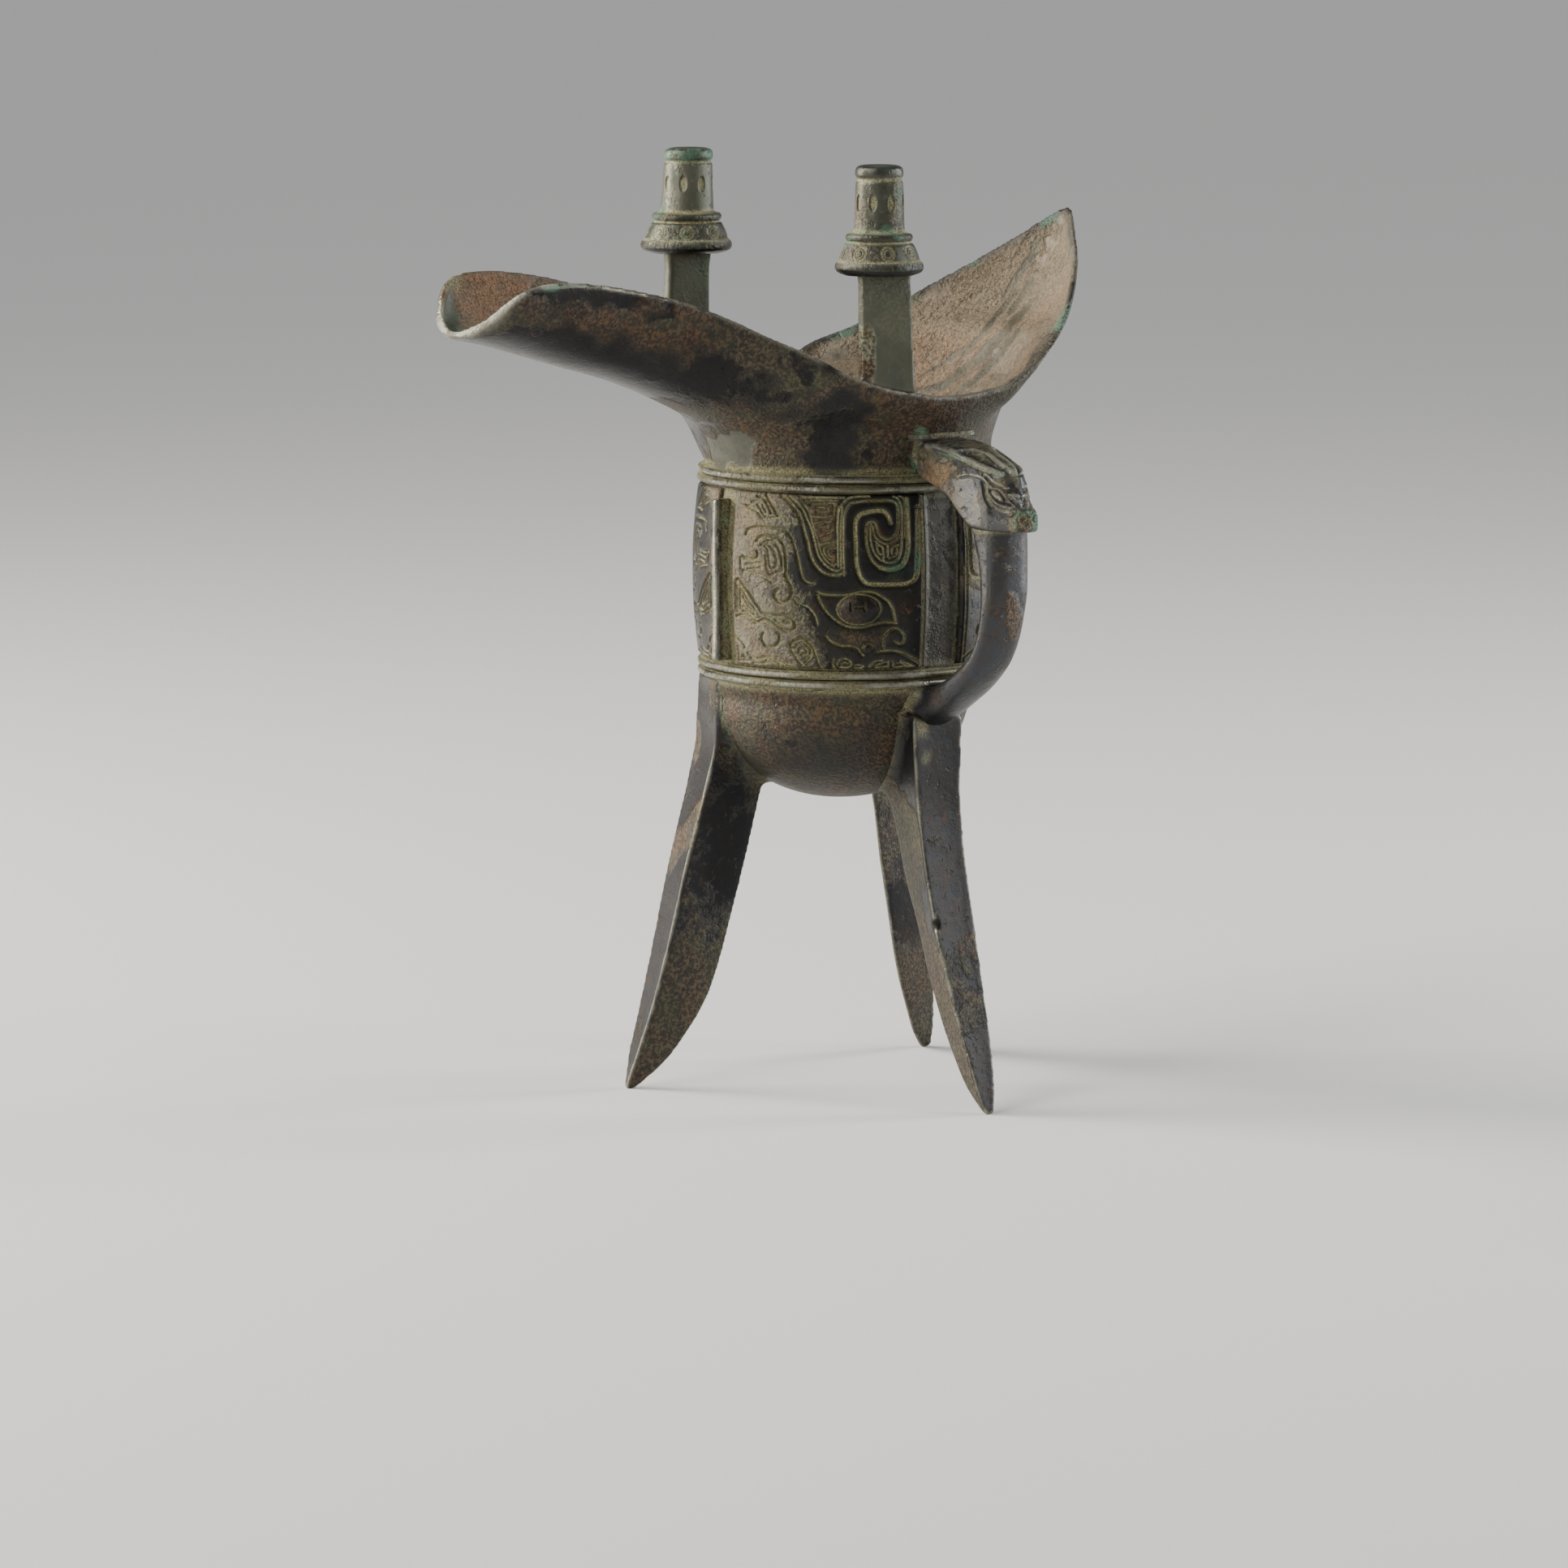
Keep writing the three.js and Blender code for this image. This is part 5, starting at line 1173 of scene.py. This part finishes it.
# Lines of the head in photo pixels: kind, half width and height or depth in mm.
HEAD_LINES = [
    ("groove", 0.26, 0.55, [(1210, 592), (1212, 600), (1213, 610), (1216, 618), (1221, 625), (1228, 631), (1235, 635), (1240, 639), (1246, 639)]),
    ("earth", 0.30, 0.40, [(1214, 597), (1214, 605), (1216, 612), (1219, 619), (1225, 625), (1232, 629), (1240, 630), (1250, 630), (1257, 628.5)]),
    ("ridge", 0.24, 0.38, [(1217, 598), (1218, 607), (1222, 614), (1228, 620), (1236, 624), (1247, 626)]),
    ("ridge", 0.24, 0.42, [(1217, 596), (1223, 602), (1230, 603), (1235, 607), (1238, 612), (1243, 617), (1248, 622), (1254, 628)]),
    ("groove", 0.22, 0.40, [(1220, 604), (1222, 610), (1227, 616), (1233, 620), (1240, 621.5), (1246, 623)]),
    ("groove", 0.20, 0.34, [(1221, 604), (1226, 603.5), (1231, 606), (1235, 611), (1238, 617)]),
    ("ridge", 0.55, 0.42, [(1224, 607.5), (1228, 611), (1233, 615)]),
    ("ridge", 0.26, 0.24, [(1180, 588), (1185, 586), (1190, 585), (1195, 585), (1200, 586.5), (1205, 587), (1210, 589.5), (1216, 594), (1222, 601)]),
    ("groove", 0.20, 0.28, [(1183, 589), (1190, 587.6), (1196, 587.6), (1202, 589), (1208, 591.5)]),
    ("groove", 0.30, 0.50, [(1216, 588), (1222, 596), (1232, 600), (1240, 605), (1246, 605), (1253, 605)]),
    ("ridge", 0.34, 0.40, [(1215, 585), (1221, 591), (1227, 596), (1234, 599), (1241, 602)]),
    ("mala", 0.32, 0.62, [(1157, 558), (1163, 560), (1170, 561), (1180, 565), (1190, 569.5), (1200, 575), (1210, 579.5), (1220, 582), (1228, 584), (1238, 585)]),
    ("ridge", 0.60, 0.55, [(1142, 549), (1150, 550), (1160, 552), (1170, 555), (1180, 560), (1190, 566), (1200, 571), (1210, 576), (1222, 580), (1235, 584)]),
    ("hollow", 0.62, 0.55, [(1192, 559), (1200, 561), (1210, 566), (1222, 572), (1232, 577), (1245, 583), (1250, 584)]),
    ("ridge", 0.55, 0.48, [(1182, 556), (1190, 556), (1200, 555), (1210, 558), (1220, 562), (1230, 570), (1240, 577), (1248, 583)]),
    ("groove", 0.22, 0.34, [(1206, 556.5), (1214, 560), (1222, 566.5), (1230, 573), (1238, 579.5)]),
    ("groove", 0.24, 0.42, [(1240, 586), (1247, 585), (1254, 583)]),
    ("ridge", 0.34, 0.30, [(1244, 611), (1250, 611.5), (1258, 612)]),
    ("groove", 0.26, 0.40, [(1243, 616), (1248, 620.5), (1257, 629)]),
    ("ridge", 0.34, 0.34, [(1246, 614), (1252, 618), (1260, 626)]),
    ("groove", 0.24, 0.40, [(1261, 613), (1262, 620), (1267, 625.5)]),
    ("groove", 0.30, 0.60, [(1246, 639), (1252, 634), (1258, 631), (1262, 628), (1268, 627), (1272, 627)]),
    ("earth", 0.26, 0.42, [(1244, 646), (1243, 641), (1247, 638)]),
    ("hollow", 0.8, 0.30, [(1222, 630), (1230, 635), (1238, 638)]),
]


def plan_half(s):
    w = np.interp(s, PLAN_S, PLAN_W)
    return np.where(s < 0, 0.1 + 2.5 * s, w)


def head_blank(X, RH, Z, h):
    """The head without its lines: a wedge in plan with a square snout."""
    aX = np.abs(X)
    s = look(FRONT_R, Z) - RH
    f = unit((aX - plan_half(s) + 0 * Z).astype(F4), h)
    f = smax(f, (look(HEAD_LOW, RH) - Z + 0 * X).astype(F4), 1.1)
    sn = smax(smax(aX - 3.3, np.abs(Z - 130.75) - 2.5, 0.9), RH - 62.3 + 0.11 * np.minimum(X * X, 12), 0.9)
    sn = smax(sn, 53 - RH, 0.3)
    return smin(f, sn.astype(F4), 0.45)


def meet(pts, f, ax, h):
    """Where the sight lines of photo pixels meet the surface f = 0."""
    p = np.array(pts, float)
    d = ((p[:, :1] - 966) / FOCAL) * CAM_X + ((966 - p[:, 1:]) / FOCAL) * CAM_Y - CAM_Z
    d /= np.linalg.norm(d, axis=1)[:, None]
    t = np.arange(1425, 1500, 0.04)
    out = []
    for k in range(len(p)):
        q = CAM_AT + t[:, None] * d[k]
        val = probe(f, ax, h, q)
        box = np.all((q > [a[0] for a in ax]) & (q < [a[-1] for a in ax]), axis=1)
        hit = np.flatnonzero((val < 0) & box)
        if len(hit):
            out.append(q[hit[0]])
    return np.array(out)


def line_field(pts, ax, reach):
    """Distance in mm to a line in space, within reach of it."""
    dist = np.full(tuple(len(a) for a in ax), 9.0, F4)
    line = spline(pts, 0.35) if len(pts) > 1 else np.array([pts[0], pts[0] + 0.01])
    for a, b in zip(line[:-1], line[1:]):
        lo, hi = np.minimum(a, b) - reach, np.maximum(a, b) + reach
        s = [slice(*np.searchsorted(ax[k], [lo[k], hi[k]])) for k in range(3)]
        if any(x.start >= x.stop for x in s):
            continue
        P = np.stack(np.meshgrid(*[ax[k][s[k]] for k in range(3)], indexing="ij"), -1).astype(float) - a
        e = b - a
        t = np.clip((P @ e) / max(e @ e, 1e-9), 0, 1)
        d = np.linalg.norm(P - t[..., None] * e, axis=-1)
        sub = dist[tuple(s)]
        np.minimum(sub, d, out=sub)
    return dist


def make_head():
    h = 0.155
    # the near half (x < 0) is carved from the photograph and mirrored
    ax = axes((-9.6, -64.0, 127.4), (3.0, -30.5, 150.6), h)
    X, Y, Z = (ax[0][:, None, None], ax[1][None, :, None], ax[2][None, None, :])
    RH = -Y
    f = head_blank(X + 0 * Y + 0 * Z, RH + 0 * X + 0 * Z, Z + 0 * X + 0 * Y, h).astype(F4)
    blank = f.copy()
    cavf = np.zeros_like(f)
    wornf = np.zeros_like(f)
    crease_shade_f = np.zeros_like(f)
    malaf = np.zeros_like(f)
    for kind, wid, amt, pts in HEAD_LINES:
        p = meet(pts, blank, ax, h)
        if len(p) < 2:
            continue
        p[:, 0] = -np.abs(p[:, 0])
        d = line_field(p, ax, 3.2 * wid)
        g = np.exp(-(d / wid) ** 2) * (d < 8)
        if kind == "ridge":
            f -= (1.35 * amt * g).astype(F4)
            np.maximum(wornf, g, out=wornf)
        else:
            f += (1.5 * amt * g).astype(F4)
            # grooves and hollows are painted dark: painted shade in the creases
            if kind in ("groove", "hollow"):
                np.maximum(crease_shade_f, g * (1.0 if kind == "groove" else 0.6), out=crease_shade_f)
            if kind in ("earth", "mala"):
                np.maximum(cavf, g * (1.0 if kind == "earth" else 0.5), out=cavf)
            if kind == "mala":
                np.maximum(malaf, g, out=malaf)
    # nostrils
    nos = np.array([-1.8, -62.1, 131.2])
    P = np.sqrt((X - nos[0]) ** 2 + (Y - nos[1]) ** 2 * 0.6 + (Z - nos[2]) ** 2)
    gn = np.exp(-((P - 1.08) / 0.2) ** 2)
    f += (0.42 * gn).astype(F4)
    np.maximum(cavf, gn, out=cavf)
    f -= (0.12 * np.exp(-(P / 0.7) ** 2)).astype(F4)
    # whole head from the carved half
    ax2 = axes((-9.6, -64.0, 127.4), (9.6, -30.5, 150.6), h)
    xi = np.interp(-np.abs(ax2[0]), ax[0], np.arange(len(ax[0])))
    i0 = np.clip(np.floor(xi).astype(int), 0, len(ax[0]) - 2)
    tt = (xi - i0).astype(F4)[:, None, None]

    def whole(a):
        return (a[i0] * (1 - tt) + a[i0 + 1] * tt).astype(F4)
    f, cavf, wornf, crease_shade_f, malaf = [whole(a) for a in (f, cavf, wornf, crease_shade_f, malaf)]
    X = ax2[0][:, None, None]
    body = outer_field(X, Y, Z, h)[0]
    g = smin(f, body + 0.45 * step(0.5, 1.6, f), 2.0)
    g = smax(g, f - 1.9, 0.1)
    g = smax(g, -(body + 1.0), 0.1)
    g = smax(g, 134.9 - Z - (RH - 33.6) * 3.0, 0.2)
    g = smax(g, 128.15 - Z + 0 * X + 0 * Y, 0.2)
    v, q = skin(g.astype(F4), ax2, h, 2)
    cv = bend(v, q, h)
    x, y, z = v.T
    r = -y
    bd = probe(body, ax2, h, v)
    lc, lw, crease_shade, lm = [probe(a, ax2, h, v) for a in (cavf, wornf, crease_shade_f, malaf)]
    m = v.copy()
    m[:, 0] = -np.abs(m[:, 0])
    px, py = photo(m)
    out = m[:, 0] < -1.0
    cheek = out * inside([(1158, 600), (1170, 591), (1180, 588.5), (1192, 586), (1206, 588), (1211, 592), (1213, 607), (1217, 619), (1224, 628.5),
                          (1233, 634.5), (1243, 640), (1242, 650), (1225, 658), (1200, 659), (1184, 642), (1168, 618)], px, py) * 1.0
    cheek = np.clip(cheek + step(134.5, 131, z) * step(60.0, 58.5, r) * step(46, 48, r), 0, 1)
    plate = out * inside([(1214, 584), (1222, 585), (1236, 588), (1252, 586), (1260, 590), (1256, 603), (1245, 603), (1233, 598), (1222, 592)], px, py) * 1.0
    snout = step(60.2, 61.2, r) * step(134, 133, z)
    wob = waves(77, 16, 0.3, 1.3)(*v.T)
    mala = np.clip(1.3 * lm * step(-0.3, 0.3, wob) + 0.7 * snout * step(-0.35, 0.25, wob) + 0.5 * step(139, 142, z) * step(54, 57, r) * step(0.1, 0.5, wob), 0, 1)
    brown = out * step(48, 43, r) * step(142.5, 141, z)
    piece("handle_head", v, q, "handle_bronze", ["handle_head"],
          cav=np.clip(0.9 * lc * (1 - 0.8 * crease_shade) + 0.4 * step(1.6, 0.2, bd) + 0.15 * step(0.2, 0.9, wob) * (1 - cheek), 0, 1), stain=0.85 * crease_shade * (1 - lw),
          worn=np.clip(0.5 * step(0.10, 0.3, cv) * step(1.0, 2.6, bd) + 0.9 * lw + 0.12 * cheek, 0, 1),
          fresh=np.clip(0.55 + 0.8 * cheek + 0.4 * plate - 0.6 * brown, 0, 1), rust=np.clip(0.75 * brown * step(-0.5, 0.4, wob) + 0.5 * step(50, 56, r) * step(0.5, 0.8, wob), 0, 1) * (1 - cheek),
          tan=np.clip(0.40 * brown + 0.25 * step(0.0, 0.8, wob) * (1 - cheek), 0, 1) * (1 - plate), mala=mala)


make_vessel()
for i, (nm, z0, z1) in enumerate((("lower_bowstring_1", 92.5, 94.2), ("lower_bowstring_2", 94.5, 96.2),
                                  ("upper_bowstring_1", 135.15, 136.85), ("upper_bowstring_2", 137.15, 138.85))):
    make_ring(nm, z0, z1, 200 + i)
make_quarters()
make_flange("flange_spout", 93.2, 97.3, 132.8, 1.15)
make_flange("flange_tail", -90, 97.6, 131.6, 1.05)
make_flange("flange_back", 180, 97.6, 131.6, 1.05)
make_post("post_near", -1)
make_post("post_far", 1)
make_cap("post_cap_near", -1, -17.9, -32.8, 182.4, 23.7, 36, 19)
make_cap("post_cap_far", 1, -18.9, 33.5, 184.1, 23.4, 42, 7.8, 1.06, 0.035)
make_leg("leg_handle", 0, 86, 300, LEG_OUT, LEG_IN)
make_leg("leg_spout", 120, 95, 310, LEG2_OUT, LEG2_IN, 0.21)
make_leg("leg_tail", -120, 95, 320, LEG_OUT, LEG_IN)
make_loop()
make_head()

# ------------------------------------------------------------ floor and light
fm = bpy.data.materials.new("floor")
fm.use_nodes = True
fm.node_tree.nodes["Principled BSDF"].inputs["Base Color"].default_value = (0.66, 0.66, 0.655, 1)
fm.node_tree.nodes["Principled BSDF"].inputs["Roughness"].default_value = 0.8
mesh = bpy.data.meshes.new("floor")
mesh.from_pydata([(AX + a, AY + b, 0.0) for a, b in ((-22, -22), (22, -22), (22, 22), (-22, 22))], [], [(0, 1, 2, 3)])
floor = bpy.data.objects.new("floor", mesh)
bpy.context.scene.collection.objects.link(floor)
mesh.materials.append(fm)

world = bpy.data.worlds.new("studio")
bpy.context.scene.world = world
world.use_nodes = True
world.node_tree.nodes["Background"].inputs[0].default_value = (0.90, 0.94, 1.0, 1)
world.node_tree.nodes["Background"].inputs[1].default_value = 0.16


def aim(o, pos, target):
    o.location = pos
    o.rotation_euler = (Vector(target) - Vector(pos)).to_track_quat("-Z", "Y").to_euler()


def area(name, pos, target, size, watt, color=(1, 1, 1)):
    d = bpy.data.lights.new(name, "AREA")
    d.shape = "RECTANGLE"
    d.size, d.size_y = size
    d.energy = watt
    d.color = color
    o = bpy.data.objects.new(name, d)
    bpy.context.scene.collection.objects.link(o)
    aim(o, pos, target)
    return o


mid = (AX, AY, 0.11)
sun = bpy.data.lights.new("sun", "SUN")
sun.energy = 2.1
sun.angle = math.radians(40)
sun.color = (1.0, 0.985, 0.965)
so = bpy.data.objects.new("sun", sun)
bpy.context.scene.collection.objects.link(so)
aim(so, (AX - 1.0, AY + 0.25, 1.15), mid)
area("key", (AX - 0.72, AY + 0.86, 0.50), mid, (0.55, 0.95), 34, (1.0, 0.93, 0.82))
area("side", (AX - 1.05, AY - 0.15, 0.55), mid, (0.26, 0.8), 5, (1.0, 0.96, 0.90))
area("front", (AX + 0.75, AY - 0.93, 0.50), mid, (0.30, 0.8), 6, (1.0, 0.98, 0.95))
area("rim", (AX + 1.05, AY - 0.35, 0.40), mid, (0.30, 0.9), 12, (0.95, 0.975, 1.0))

# ----------------------------------------------- camera at the photo's angle
cam = bpy.data.cameras.new("camera")
cam.lens = 156.6
cam.sensor_width = 36
cam.clip_end = 60
co = bpy.data.objects.new("camera", cam)
bpy.context.scene.collection.objects.link(co)
m = Matrix((Vector(CAM_X), Vector(CAM_Y), Vector(CAM_Z))).transposed().to_4x4()
m.translation = Vector((AX + CAM_AT[0] / 1000, AY + CAM_AT[1] / 1000, CAM_AT[2] / 1000))
co.matrix_world = m
bpy.context.scene.camera = co
